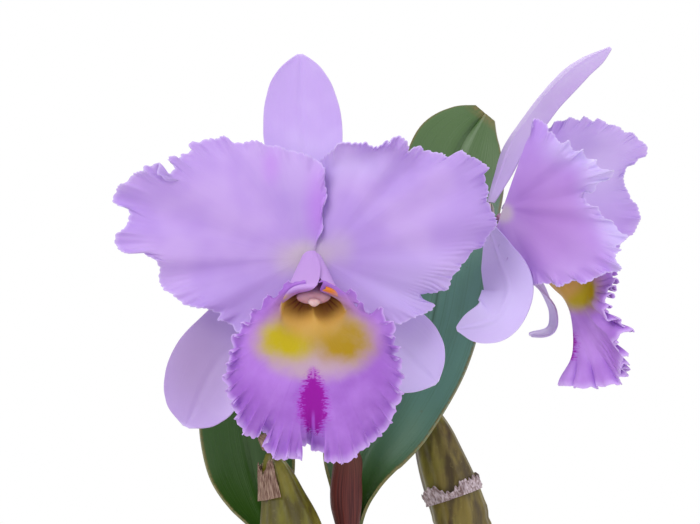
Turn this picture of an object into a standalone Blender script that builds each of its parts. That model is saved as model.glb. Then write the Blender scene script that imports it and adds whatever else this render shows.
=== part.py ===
"""A cattleya orchid with two blooms, growing in bark in a round clay pot.

Run it with blender --background --python part.py, or from Blender's text editor.
Shapes are written in millimetres and built in metres. The origin is the centre of the
pot's flat base, +Z is up and the open bloom faces -Y. In a bloom's own frame x runs to
the right of someone looking into it, z runs up and -y points out of the bloom.
"""

import math
import random
from dataclasses import dataclass

import bmesh
import bpy
import numpy as np

MM = 0.001

# Driving dimensions, in millimetres
POT_HEIGHT = 112.0
POT_RIM_RADIUS = 72.0
POT_WALL = 6.0
POT_SIDES = 32
RIM_BAND_HEIGHT = 24.0
BASE_RADIUS = 47.0
FLOOR_THICKNESS = 8.0
DRAIN_RADIUS = 6.0
DRAIN_RING_RADIUS = 26.0
BARK_LEVEL = 97.0
GAP = 0.3
BLADE = 0.8
LEAF_BLADE = 1.6
CHIP_COUNT = 46
CHIP_SIZE = (17.0, 12.5, 9.0)
CHIP_TILT = 0.3
CHIP_SPREAD = 60.0
GOLDEN_TURN = 137.5
SEED = 7

# Where each bloom's claws meet, and how far the bloom is turned about the vertical
FRONT_BLOOM_AT = (-38.7, -40.0, 324.5)
FRONT_BLOOM_TURN = 0.0
SIDE_BLOOM_AT = (40.5, -5.0, 342.3)
SIDE_BLOOM_TURN = 90.0

RAY_STEPS = 14
CLAW_START = 0.06
RING_CROWDING = 0.75
TINY = 1e-3


@dataclass(frozen=True)
class FanPetal:
    """A broad petal whose veins fan out from its claw. Each table holds (angle in degrees, value)."""

    claw: tuple
    outline: tuple
    rise: tuple
    curl: tuple
    wave_height: tuple
    waves: tuple


@dataclass(frozen=True)
class RibBlade:
    """A blade spread along a midrib. Each table holds (share of the length, value)."""

    midrib: tuple
    half_width: tuple
    roll: tuple
    face: tuple


@dataclass(frozen=True)
class Limb:
    """A round stem: a route, and a table of (share of the length, radius)."""

    route: tuple
    radii: tuple
    end_share: float = 0.12
    breadth: float = 1.0
    ridges: int = 0
    ridge_depth: float = 0.0


@dataclass(frozen=True)
class Lip:
    """A lip rolled into a tube round the column, then spread into a frilled blade below its mouth."""

    base: tuple
    mouth: tuple
    base_radius: float
    mouth_radius: float
    outline: tuple
    margin_forward: tuple
    swell: float
    wave_height: tuple
    waves: tuple


def clear_scene():
    for obj in list(bpy.data.objects):
        bpy.data.objects.remove(obj, do_unlink=True)


def make_material(name, colour, roughness):
    material = bpy.data.materials.new(name)
    material.use_nodes = True
    shader = material.node_tree.nodes["Principled BSDF"]
    shader.inputs["Base Color"].default_value = (*colour, 1.0)
    shader.inputs["Roughness"].default_value = roughness
    return material


def make_collection(name, helper=False):
    collection = bpy.data.collections.new(name)
    bpy.context.scene.collection.children.link(collection)
    collection.hide_render = helper
    return collection


def curve_through(rows, x):
    """The value at x of a smooth curve through rows of (key, value, ...), with keys rising."""
    keys = np.array([row[0] for row in rows], float)
    values = np.array([row[1:] for row in rows], float)
    slopes = np.gradient(values, keys, axis=0)
    x = np.atleast_1d(np.asarray(x, float))
    place = np.clip(np.searchsorted(keys, x) - 1, 0, len(keys) - 2)
    step = (keys[place + 1] - keys[place])[:, None]
    s = np.clip((x - keys[place])[:, None] / step, 0.0, 1.0)
    start = values[place] * (1 + 2 * s) * (1 - s) ** 2
    end = values[place + 1] * s * s * (3 - 2 * s)
    lean = slopes[place] * s * (1 - s) ** 2 + slopes[place + 1] * s * s * (s - 1)
    return start + end + lean * step


def table(rows, x):
    return curve_through(rows, x)[:, 0]


def along_route(points, share):
    """Points at these shares of the length of a smooth route."""
    points = np.array(points, float)
    lengths = np.linalg.norm(np.diff(points, axis=0), axis=1)
    keys = np.concatenate([[0.0], np.cumsum(lengths)]) / lengths.sum()
    rows = np.column_stack([keys, points])
    return curve_through(rows, share)


def unit(vectors):
    return vectors / np.linalg.norm(vectors, axis=1)[:, None]


def route_frame(points, share):
    """The centre and the unit direction of a route at each share of its length."""
    before = along_route(points, np.clip(share - TINY, 0.0, 1.0))
    after = along_route(points, np.clip(share + TINY, 0.0, 1.0))
    return along_route(points, share), unit(after - before)


def smooth_step(x):
    x = np.clip(x, 0.0, 1.0)
    return x * x * (3 - 2 * x)


def wave_sum(waves, u):
    """A sum of sines along a margin, from rows of (count, phase, share)."""
    return sum(share * np.sin(math.tau * (count * u + phase)) for count, phase, share in waves)


def ray_run(rise, curl, v):
    """How far a petal's ray has run outward and forward, as shares of its length."""
    steps = (np.arange(RAY_STEPS)[:, None] + 0.5) / RAY_STEPS * v
    tilt = np.radians(rise * smooth_step(steps / 0.25) + curl * smooth_step((steps - 0.5) / 0.5))
    return v * np.cos(tilt).mean(axis=0), v * np.sin(tilt).mean(axis=0)


def fan_points(petal, u, v):
    """Points of the petal, with u across its fan of veins and v from its claw to its margin."""
    first, last = petal.outline[0][0], petal.outline[-1][0]
    angle = first + (last - first) * u
    v = CLAW_START + (1 - CLAW_START) * v
    reach = table(petal.outline, angle)
    rise, curl = table(petal.rise, angle), table(petal.curl, angle)
    full = ray_run(rise, curl, np.ones_like(v))[0]
    outward, forward = ray_run(rise, curl, v)
    outward = reach * outward / full
    forward = reach * forward / full
    forward += table(petal.wave_height, angle) * v**3 * wave_sum(petal.waves, u)
    turn = np.radians(angle)
    x = petal.claw[0] + outward * np.cos(turn)
    z = petal.claw[2] + outward * np.sin(turn)
    return np.column_stack([x, petal.claw[1] - forward, z])


def rib_points(blade, u, v):
    """Points of a blade, with u across it and v along its midrib."""
    across = 2 * u - 1
    centre, forward = route_frame(blade.midrib, v)
    side = unit(np.cross(forward, curve_through(blade.face, v)))
    normal = np.cross(side, forward)
    half = table(blade.half_width, v)
    roll = np.radians(table(blade.roll, v))
    roll = np.where(np.abs(roll) < TINY, TINY, roll)
    sideways = half * np.sin(roll * across) / roll
    raised = half * (1 - np.cos(roll * across)) / roll
    return centre + side * sideways[:, None] + normal * raised[:, None]


def lip_points(lip, u, v):
    """Points of the lip, with u round its tube and v from the tube's base to the frilled margin."""
    first, last = lip.outline[0][0], lip.outline[-1][0]
    angle = first + (last - first) * u
    closed = 90.0 - 358.0 + 356.0 * u
    base, mouth = np.array(lip.base, float), np.array(lip.mouth, float)
    axis = (mouth - base) / np.linalg.norm(mouth - base)
    right = np.array([1.0, 0.0, 0.0])
    above = np.cross(right, axis)
    above = above if above[2] > 0 else -above

    def ring(share, radius, turn):
        turn = np.radians(turn)[:, None]
        return base + axis * share * np.linalg.norm(mouth - base) + radius * (
            right * np.cos(turn) + above * np.sin(turn)
        )

    def spread(radius, forward):
        turn = np.radians(angle)
        return mouth + np.column_stack([radius * np.cos(turn), -forward, radius * np.sin(turn)])

    reach = table(lip.outline, angle)
    margin = table(lip.margin_forward, angle)
    inner = lip.mouth_radius * 1.25 + np.zeros_like(angle)
    stations = (
        (0.0, ring(0.0, lip.base_radius, closed)),
        (0.18, ring(0.5, 0.5 * (lip.base_radius + lip.mouth_radius), closed * 0.7 + angle * 0.3)),
        (0.36, ring(0.97, lip.mouth_radius, angle)),
        (0.48, spread(np.minimum(inner, reach * 0.75), 2.5 + 0 * reach)),
        (0.74, spread(0.45 * inner + 0.55 * reach, lip.swell + 0.45 * margin)),
        (1.0, spread(reach, margin)),
    )
    keys = np.array([key for key, _ in stations])
    values = np.stack([points for _, points in stations])
    slopes = np.gradient(values, keys, axis=0)
    place = np.clip(np.searchsorted(keys, v) - 1, 0, len(keys) - 2)
    row = np.arange(len(v))
    step = (keys[place + 1] - keys[place])[:, None]
    s = (v - keys[place])[:, None] / step
    points = values[place, row] * (1 + 2 * s) * (1 - s) ** 2
    points += values[place + 1, row] * s * s * (3 - 2 * s)
    points += step * slopes[place, row] * s * (1 - s) ** 2
    points += step * slopes[place + 1, row] * s * s * (s - 1)
    ruffle = table(lip.wave_height, angle) * smooth_step((v - 0.55) / 0.45) ** 2
    points[:, 1] -= ruffle * wave_sum(lip.waves, u)
    return points


def crowded(share):
    """Shares that crowd towards both ends of a stem, where it rounds off."""
    return share - RING_CROWDING * np.sin(math.tau * share) / math.tau


def limb_points(limb, share, turn):
    """Points of a round stem at these shares of its length and angles round it."""
    share = crowded(share)
    centre, forward = route_frame(limb.route, share)
    lies_across = abs(forward[len(forward) // 2, 0]) > 0.8
    level = np.array([0.0, 0.0, 1.0]) if lies_across else np.array([1.0, 0.0, 0.0])
    side = unit(np.cross(forward, np.cross(level, forward)))
    other = np.cross(forward, side)
    from_end = np.clip(np.minimum(share, 1 - share) / limb.end_share, 0.0, 1.0)
    radius = table(limb.radii, share) * np.sqrt(1 - (1 - from_end) ** 2)
    radius = radius * (1 + limb.ridge_depth * np.cos(limb.ridges * turn))
    across = (radius * np.cos(turn) * limb.breadth)[:, None]
    deep = (radius * np.sin(turn))[:, None]
    return centre + side * across + other * deep


def add_object(name, bm, material, collection, parent=None):
    mesh = bpy.data.meshes.new(name)
    bm.to_mesh(mesh)
    bm.free()
    obj = bpy.data.objects.new(name, mesh)
    obj.parent = parent
    collection.objects.link(obj)
    if material:
        mesh.materials.append(material)
    mesh.shade_smooth()
    return obj


def place_vertices(bm, points):
    for vert, point in zip(bm.verts, points * MM):
        vert.co = point


def add_sheet(name, points_of, columns, rows, material, collection, parent=None, thickness=BLADE):
    """A thin closed blade whose middle surface is points_of(u, v)."""
    bm = bmesh.new()
    bmesh.ops.create_grid(bm, x_segments=columns, y_segments=rows, size=1.0)
    u = np.array([(vert.co.x + 1) / 2 for vert in bm.verts])
    v = np.array([(vert.co.y + 1) / 2 for vert in bm.verts])
    place_vertices(bm, points_of(u, v))
    bmesh.ops.triangulate(bm, faces=bm.faces)
    obj = add_object(name, bm, material, collection, parent)
    solidify = obj.modifiers.new("Thickness", "SOLIDIFY")
    solidify.thickness = thickness * MM
    solidify.offset = 0.0
    return obj


def add_limb(name, limb, sides, rings, material, collection, parent=None, swell=0.0):
    """A closed round stem; swell widens it all round, for a cutter."""
    bm = bmesh.new()
    bmesh.ops.create_uvsphere(bm, u_segments=sides, v_segments=rings, radius=1.0)
    share = np.array([1 - math.acos(max(-1.0, min(1.0, vert.co.z))) / math.pi for vert in bm.verts])
    turn = np.array([math.atan2(vert.co.y, vert.co.x) for vert in bm.verts])
    points = limb_points(limb, share, turn)
    place_vertices(bm, points)
    bm.normal_update()
    for vert in bm.verts:
        vert.co += vert.normal * swell * MM
    return add_object(name, bm, material, collection, parent)


# The open bloom, in its own frame
FRONT_PETAL_LEFT = FanPetal(
    claw=(-3.4, 0.6, -0.8),
    outline=(
        (50, 12.5), (64, 24), (76, 38), (92, 44), (105, 49), (119, 55), (126, 61), (138, 67.5), (147, 69),
        (153, 79), (162, 84), (167, 77), (175, 80.5), (180, 72), (188, 60), (202, 53), (213, 45), (225, 40),
        (236, 27), (248, 14),
    ),
    rise=((50, 12), (85, 10), (115, 5), (150, 3), (180, 1), (215, 3), (248, 5)),
    curl=((50, -4), (90, -10), (125, -16), (160, -10), (190, 8), (220, -8), (248, 0)),
    wave_height=((50, 0.3), (90, 1.2), (120, 3.0), (160, 4.0), (190, 4.0), (220, 3.0), (248, 0.5)),
    waves=((4.0, 0.1, 0.6), (6.5, 0.4, 0.4)),
)
FRONT_PETAL_RIGHT = FanPetal(
    claw=(3.7, 0.6, -0.8),
    outline=(
        (-58, 14), (-48, 27), (-39, 42), (-31, 47), (-24, 51), (-19, 47), (-13, 54), (-5, 59), (4, 66),
        (12, 74), (19, 75), (29, 79), (36, 74), (44, 66), (56, 60), (64, 54), (79, 49), (91, 41), (100, 30),
    ),
    rise=((-58, 4), (-30, 2), (0, 4), (30, 5), (60, 1), (85, -3), (100, -5)),
    curl=((-58, 0), (-30, -10), (0, 6), (30, -8), (60, 14), (85, 4), (100, 0)),
    wave_height=((-58, 0.5), (-30, 3.0), (0, 4.0), (30, 4.0), (60, 2.5), (85, 0.8), (100, 0.2)),
    waves=((4.5, 0.35, 0.6), (6.5, 0.1, 0.4)),
)
FRONT_DORSAL_SEPAL = RibBlade(
    midrib=((0.0, 3.2, 5.4), (-2.0, 8.0, 30.0), (-4.4, 11.0, 58.0), (-5.2, 7.5, 84.8)),
    half_width=((0.0, 3.6), (0.15, 8.0), (0.4, 14.0), (0.62, 16.2), (0.8, 14.6), (0.93, 9.2), (1.0, 1.0)),
    roll=((0.0, 25), (0.4, 14), (0.8, 18), (1.0, 30)),
    face=((0.0, 0.0, -1.0, 0.0), (1.0, 0.0, -1.0, 0.1)),
)
FRONT_LATERAL_SEPAL_LEFT = RibBlade(
    midrib=((-3.35, 3.4, -4.6), (-18.0, 10.5, -24.5), (-38.0, 14.0, -46.5), (-54.5, 11.5, -71.5)),
    half_width=((0.0, 3.2), (0.15, 8.0), (0.4, 15.5), (0.62, 18.6), (0.8, 17.6), (0.93, 11.5), (1.0, 1.0)),
    roll=((0.0, 20), (0.5, 12), (1.0, 16)),
    face=((0.0, 0.0, -1.0, 0.0), (1.0, -0.1, -1.0, 0.1)),
)
FRONT_LATERAL_SEPAL_RIGHT = RibBlade(
    midrib=((3.35, 3.4, -4.6), (18.5, 10.5, -22.5), (35.5, 14.0, -38.0), (52.5, 11.0, -53.5)),
    half_width=((0.0, 3.2), (0.15, 8.0), (0.4, 15.0), (0.62, 17.6), (0.8, 16.4), (0.93, 11.0), (1.0, 1.0)),
    roll=((0.0, 20), (0.5, 12), (1.0, 16)),
    face=((0.0, 0.0, -1.0, 0.0), (1.0, 0.1, -1.0, 0.1)),
)
FRONT_LIP = Lip(
    base=(0.0, -2.6, -1.5),
    mouth=(1.3, -36.0, -22.6),
    base_radius=4.2,
    mouth_radius=9.5,
    outline=(
        (-254, 12), (-240, 13), (-215, 15.5), (-193, 21.5), (-173, 28), (-158, 36), (-144, 43.5),
        (-134, 49.5), (-123, 54), (-116, 56), (-110, 57), (-102, 60), (-94, 55), (-85, 60), (-78, 63),
        (-70, 60.5), (-61, 58.5), (-53, 53.5), (-45, 49.5), (-36, 43), (-24, 38), (-12, 31.5), (0, 24),
        (17, 19.5), (40, 14), (60, 12.5), (73, 12),
    ),
    margin_forward=((-254, 3), (-200, 2), (-150, -3), (-90, -8), (-30, -3), (20, 2), (73, 3)),
    swell=4.0,
    wave_height=((-254, 1.0), (-200, 2.5), (-150, 3.5), (-90, 3.5), (-30, 3.5), (20, 2.5), (73, 1.0)),
    waves=((6.5, 0.2, 0.6), (9.0, 0.55, 0.4)),
)
FRONT_COLUMN = Limb(
    route=((0.0, 0.4, -0.4), (0.3, -9.0, -4.6), (0.8, -22.0, -11.5), (1.5, -33.5, -17.6)),
    radii=((0.0, 2.3), (0.4, 2.4), (0.8, 2.9), (1.0, 3.1)),
    end_share=0.08,
    breadth=1.5,
)
FRONT_ANTHER = Limb(
    route=((1.5, -34.0, -17.4), (1.6, -36.2, -19.0), (1.6, -36.6, -20.6)),
    radii=((0.0, 2.0), (0.5, 2.1), (1.0, 1.4)),
    end_share=0.4,
    breadth=1.25,
)

# The bloom seen from its side, in its own frame
SIDE_PETAL_LEFT = FanPetal(
    claw=(-3.2, 0.6, -0.8),
    outline=(
        (88, 18), (95, 31), (104, 39.0), (118, 41), (132, 44), (146, 50), (160, 56), (172, 60), (184, 60),
        (196, 57), (208, 52), (220, 46), (232, 40), (244, 32), (254, 22), (262, 12),
    ),
    rise=((88, 18), (96, 24), (120, 30), (160, 36), (200, 38), (230, 32), (262, 22)),
    curl=((88, 0), (96, 4), (120, 14), (150, 16), (180, 4), (215, 4), (262, 0)),
    wave_height=((88, 0.3), (96, 0.8), (130, 2.5), (180, 3.0), (220, 2.5), (262, 0.3)),
    waves=((4.0, 0.6, 0.6), (6.0, 0.2, 0.4)),
)
SIDE_PETAL_RIGHT = FanPetal(
    claw=(3.2, 0.6, -0.8),
    outline=(
        (-68, 12), (-58, 25), (-45, 37), (-30, 46), (-15, 51), (0, 54), (12, 51), (22, 51), (32, 56),
        (42, 58), (54, 53), (66, 46), (78, 36), (87, 22),
    ),
    rise=((-68, 38), (-30, 54), (0, 60), (34, 60), (54, 50), (87, 30)),
    curl=((-68, 0), (-30, 0), (0, 0), (34, 0), (60, 2), (87, 2)),
    wave_height=((-68, 0.5), (-40, 2.5), (0, 3.5), (40, 3.0), (87, 0.8)),
    waves=((4.5, 0.15, 0.6), (6.5, 0.5, 0.4)),
)
SIDE_DORSAL_SEPAL = RibBlade(
    midrib=((0.0, 3.0, 5.4), (3.0, -2.5, 27.0), (6.0, -14.5, 44.5), (8.0, -30.5, 59.0), (8.5, -50.5, 73.5)),
    half_width=((0.0, 2.6), (0.15, 6.5), (0.4, 13.0), (0.62, 14.5), (0.8, 11.6), (0.93, 6.5), (1.0, 0.9)),
    roll=((0.0, 20), (0.5, 24), (1.0, 30)),
    face=((0.0, 0.2, -1.0, -0.2), (1.0, 0.3, -0.6, -1.0)),
)
SIDE_LATERAL_SEPAL_LEFT = RibBlade(
    midrib=(
        (-3.35, 3.4, -4.6), (-9.0, 3.0, -20.0), (-16.0, -1.0, -35.0), (-19.0, 3.0, -46.0),
        (-18.0, 18.0, -48.5),
    ),
    half_width=((0.0, 2.4), (0.15, 6.5), (0.4, 12.0), (0.62, 13.0), (0.8, 11.0), (0.93, 6.0), (1.0, 0.9)),
    roll=((0.0, -16), (0.5, -14), (1.0, -10)),
    face=((0.0, 0.6, -1.0, 0.0), (0.5, 1.0, -0.5, 0.0), (1.0, 1.0, -0.2, 0.3)),
)
SIDE_LATERAL_SEPAL_RIGHT = RibBlade(
    midrib=(
        (3.35, 3.4, -4.6), (6.5, 1.0, -15.0), (12.0, -12.0, -28.0), (18.0, -24.5, -38.0),
        (20.5, -28.0, -46.5), (20.5, -17.5, -52.5),
    ),
    half_width=((0.0, 2.4), (0.15, 6.5), (0.4, 12.0), (0.62, 13.0), (0.8, 11.0), (0.93, 6.0), (1.0, 0.9)),
    roll=((0.0, 16), (0.5, 16), (1.0, 20)),
    face=((0.0, -0.2, -1.0, 0.0), (0.6, 0.0, -1.0, -0.1), (1.0, 0.0, -0.5, -1.0)),
)
SIDE_LIP = Lip(
    base=(0.0, -2.6, -1.5),
    mouth=(0.0, -34.5, -27.0),
    base_radius=4.2,
    mouth_radius=9.5,
    outline=(
        (-254, 12), (-230, 14), (-205, 18), (-180, 24), (-155, 31), (-130, 39), (-110, 46), (-96, 48),
        (-90, 46), (-84, 48), (-70, 46), (-50, 39), (-25, 31), (0, 24), (25, 18), (50, 14), (73, 12),
    ),
    margin_forward=(
        (-254, 7), (-205, 13), (-165, 15), (-130, 17), (-108, 11), (-90, -5), (-72, 11), (-50, 17),
        (-15, 15), (25, 13), (73, 7),
    ),
    swell=-4.0,
    wave_height=((-254, 1.5), (-200, 3.0), (-150, 4.0), (-90, 4.0), (-30, 4.0), (20, 3.0), (73, 1.5)),
    waves=((6.5, 0.7, 0.6), (9.0, 0.1, 0.4)),
)
SIDE_COLUMN = Limb(
    route=((0.0, 0.4, -0.4), (0.0, -8.5, -5.0), (0.0, -20.0, -12.8), (0.0, -31.0, -21.0)),
    radii=((0.0, 2.3), (0.4, 2.4), (0.8, 2.9), (1.0, 3.1)),
    end_share=0.08,
    breadth=1.5,
)
SIDE_ANTHER = Limb(
    route=((0.0, -31.6, -20.8), (0.0, -33.8, -22.8), (0.0, -34.2, -24.4)),
    radii=((0.0, 2.0), (0.5, 2.1), (1.0, 1.4)),
    end_share=0.4,
    breadth=1.25,
)

# Stems, leaves and sheaths, from the centre of the pot's base
FRONT_PEDICEL = Limb(
    route=(
        (-38.7, -39.0, 324.5), (-38.7, -33.0, 324.0), (-37.5, -22.0, 320.0), (-28.0, -12.0, 303.0),
        (-17.4, -8.0, 282.5),
    ),
    radii=((0.0, 5.2), (0.07, 5.0), (0.16, 3.6), (0.5, 3.0), (1.0, 2.2)),
    end_share=0.022,
)
SIDE_PEDICEL = Limb(
    route=(
        (39.5, -5.0, 342.3), (33.0, -5.0, 342.0), (22.0, -5.0, 336.0), (5.0, -6.0, 316.0),
        (-9.6, -8.0, 296.9),
    ),
    radii=((0.0, 5.2), (0.06, 5.0), (0.14, 3.6), (0.5, 3.0), (1.0, 2.4)),
    end_share=0.022,
)
PEDUNCLE = Limb(
    route=((-23.3, -4.6, 198.8), (-24.6, -8.2, 228.0), (-19.0, -8.5, 258.0), (-10.0, -8.0, 296.6)),
    radii=((0.0, 2.6), (0.5, 2.9), (1.0, 2.8)),
    end_share=0.03,
)
BULB_FLOWERING = Limb(
    route=(
        (-5.0, 6.0, 104.2), (-9.0, 5.0, 140.0), (-17.0, 3.0, 175.0), (-23.0, 1.5, 198.0), (-23.8, 1.0, 203.0),
    ),
    radii=((0.0, 6.5), (0.25, 9.5), (0.6, 12.0), (0.85, 9.0), (1.0, 6.0)),
    ridges=7,
    ridge_depth=0.03,
)
BULB_LEFT = Limb(
    route=(
        (-30.0, -4.0, 104.4), (-36.0, -8.0, 150.0), (-45.0, -11.5, 190.0), (-49.0, -12.0, 210.0),
        (-57.2, -12.0, 241.5),
    ),
    radii=((0.0, 6.0), (0.25, 8.5), (0.55, 12.4), (0.75, 13.2), (0.88, 8.4), (1.0, 5.5)),
    ridges=7,
    ridge_depth=0.03,
)
BULB_RIGHT = Limb(
    route=(
        (42.0, 13.0, 105.2), (37.5, 20.0, 150.0), (31.2, 25.0, 185.0), (27.2, 26.0, 205.6),
        (16.2, 28.0, 238.3), (9.5, 28.0, 260.6),
    ),
    radii=((0.0, 6.5), (0.25, 9.5), (0.55, 12.2), (0.8, 11.0), (0.93, 8.0), (1.0, 6.0)),
    ridges=7,
    ridge_depth=0.03,
)
BULB_LEAFING = Limb(
    route=((-44.0, 13.5, 103.9), (-48.0, 13.5, 140.0), (-53.5, 11.0, 175.0), (-57.0, 7.5, 198.0)),
    radii=((0.0, 5.5), (0.3, 8.0), (0.6, 8.8), (0.85, 6.4), (1.0, 4.5)),
    ridges=7,
    ridge_depth=0.03,
)
LEAF_STUB = Limb(
    route=((-57.5, -12.0, 241.8), (-59.0, -12.5, 245.0), (-61.5, -12.5, 248.0)),
    radii=((0.0, 3.2), (0.5, 2.7), (1.0, 1.8)),
    end_share=0.2,
)
LEAF_BIG = RibBlade(
    midrib=(
        (-22.8, 1.8, 203.3), (-21.4, 4.0, 222.6), (-17.6, 6.0, 237.9), (-5.0, 9.0, 256.0), (9.4, 14.0, 283.4),
        (19.0, 19.0, 327.3), (23.5, 22.0, 363.0), (27.5, 23.5, 380.0), (33.5, 24.0, 391.0),
    ),
    half_width=(
        (0.0, 4.5), (0.05, 7.0), (0.1, 12.0), (0.16, 18.5), (0.25, 21.0), (0.5, 21.0), (0.75, 21.5),
        (0.86, 21.0), (0.93, 17.5), (0.97, 12.5), (1.0, 5.0),
    ),
    roll=((0.0, 70), (0.15, 42), (0.35, 22), (0.7, 12), (1.0, 8)),
    face=((0.0, 0.0, -1.0, 0.0), (0.3, -0.15, -1.0, 0.1), (1.0, 0.0, -1.0, 0.1)),
)
LEAF_LEFT = RibBlade(
    midrib=(
        (-57.2, 7.4, 198.4), (-61.8, 6.5, 220.0), (-66.4, 6.0, 245.0), (-67.5, 7.0, 285.0),
        (-66.0, 9.0, 312.0), (-65.5, 11.0, 340.0),
    ),
    half_width=(
        (0.0, 3.5), (0.07, 8.0), (0.14, 14.5), (0.22, 19.0), (0.33, 20.5), (0.5, 18.5), (0.66, 14.5),
        (0.85, 10.5), (0.95, 6.5), (1.0, 2.0),
    ),
    roll=((0.0, 70), (0.15, 42), (0.4, 20), (1.0, 10)),
    face=((0.0, 0.0, -1.0, 0.0), (1.0, 0.0, -1.0, 0.05)),
)
SPATHE = RibBlade(
    midrib=((-23.4, -8.5, 201.5), (-24.6, -12.8, 222.0), (-23.2, -14.0, 243.0)),
    half_width=((0.0, 7.0), (0.4, 12.5), (0.75, 11.0), (1.0, 3.0)),
    roll=((0.0, 112), (0.4, 110), (0.75, 105), (1.0, 40)),
    face=((0.0, 0.0, 1.0, 0.0), (1.0, 0.0, 1.0, 0.0)),
)
RHIZOME = Limb(
    route=(
        (-51.0, 13.0, 98.0), (-44.0, 13.0, 99.0), (-30.0, -2.0, 99.0), (-5.0, 5.0, 99.0), (20.0, 12.0, 99.0),
        (42.0, 13.0, 99.0), (52.0, 10.0, 100.0),
    ),
    radii=((0.0, 4.5), (0.1, 5.6), (0.5, 5.2), (0.9, 5.6), (1.0, 4.2)),
    end_share=0.06,
)
ROOT_STARTS = (
    (-44.0, 13.0), (-34.0, 2.0), (-22.0, -1.0), (-2.0, 6.0), (14.0, 10.0), (30.0, 13.0), (42.0, 13.0),
)
ROOT_HEADINGS = (60.0, 228.0, 285.0, 255.0, 300.0, 75.0, 262.0)
ROOT_RADIUS = 1.7

# Each wrap holds the first and last share of the stem, the first angle round it and the span
DRIED_SHEATH_WRAP = (0.74, 0.93, 120.0, 190.0)
NODE_REMNANT_WRAP = (0.63, 0.68, -165.0, 290.0)


def add_bloom_frame(name, place, turn):
    frame = bpy.data.objects.new(name, None)
    frame.location = [value * MM for value in place]
    frame.rotation_euler = (0.0, 0.0, math.radians(turn))
    bpy.context.scene.collection.objects.link(frame)
    return frame


def add_bloom(prefix, place, turn, shapes, materials, collection):
    """One bloom: three sepals, two petals, the lip, the column and its anther cap, round one frame."""
    frame = add_bloom_frame(prefix + "_frame", place, turn)
    petal, lip_colour = materials["petal"], materials["lip"]
    for name, shape in shapes["sepals"].items():
        add_sheet(
            f"{prefix}_{name}", lambda u, v, s=shape: rib_points(s, u, v), 5, 11, petal, collection, frame
        )
    for name, shape in shapes["petals"].items():
        add_sheet(
            f"{prefix}_{name}", lambda u, v, s=shape: fan_points(s, u, v), 28, 8, petal, collection, frame
        )
    lip = shapes["lip"]
    add_sheet(f"{prefix}_lip", lambda u, v: lip_points(lip, u, v), 36, 9, lip_colour, collection, frame)
    add_limb(f"{prefix}_column", shapes["column"], 10, 8, materials["column"], collection, frame)
    add_limb(f"{prefix}_anther_cap", shapes["anther"], 8, 5, materials["anther"], collection, frame)


def wrap_points(limb, wrap, u, v):
    """Points of a torn papery sheath wrapped round a stem, clear of it all the way."""
    first, last, start, span = wrap
    torn = 0.78 + 0.22 * np.sin(math.tau * 2.5 * u) * np.cos(math.tau * 1.3 * u)
    share = first + (last - first) * v * torn
    turn = np.radians(start + span * u)
    surface = limb_points(limb, share, turn)
    outward = unit(surface - along_route(limb.route, crowded(share)))
    lift = 0.5 * BLADE + 2.2 * GAP + 1.2 * v
    return surface + outward * lift[:, None]


def join_collection(target, helpers, solver="EXACT"):
    """Fuses every object of the collection into the target and removes them."""
    union = target.modifiers.new("Join", "BOOLEAN")
    union.operation = "UNION"
    union.operand_type = "COLLECTION"
    union.collection = helpers
    union.solver = solver
    apply_modifiers(target)
    for obj in list(helpers.objects):
        bpy.data.objects.remove(obj, do_unlink=True)
    bpy.data.collections.remove(helpers)


def apply_modifiers(obj):
    bpy.context.view_layer.update()
    evaluated = obj.evaluated_get(bpy.context.evaluated_depsgraph_get())
    mesh = bpy.data.meshes.new_from_object(evaluated)
    obj.modifiers.clear()
    obj.data = mesh


def cut(target, cutter, operation="DIFFERENCE", solver="EXACT"):
    """Cuts the target with a cutter, which stays as a wire outline."""
    boolean = target.modifiers.new("Cut " + cutter.name, "BOOLEAN")
    boolean.operation = operation
    boolean.object = cutter
    boolean.solver = solver
    cutter.display_type = "WIRE"
    cutter.hide_render = True


def drop_scraps(obj):
    """Keeps only the largest connected piece of the object's mesh."""
    bm = bmesh.new()
    bm.from_mesh(obj.data)
    left = set(bm.verts)
    pieces = []
    while left:
        piece, edge = set(), [left.pop()]
        while edge:
            vert = edge.pop()
            piece.add(vert)
            near = {link.other_vert(vert) for link in vert.link_edges} & left
            left -= near
            edge.extend(near)
        pieces.append(piece)
    largest = max(pieces, key=len)
    bmesh.ops.delete(bm, geom=[vert for vert in bm.verts if vert not in largest], context="VERTS")
    bm.to_mesh(obj.data)
    bm.free()


def inner_radius(height):
    """The radius of the pot's inner wall at this height."""
    share = (height - FLOOR_THICKNESS) / (POT_HEIGHT - FLOOR_THICKNESS)
    floor, rim = BASE_RADIUS - POT_WALL, POT_RIM_RADIUS - 1.3 * POT_WALL
    return floor + (rim - floor) * share


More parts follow.
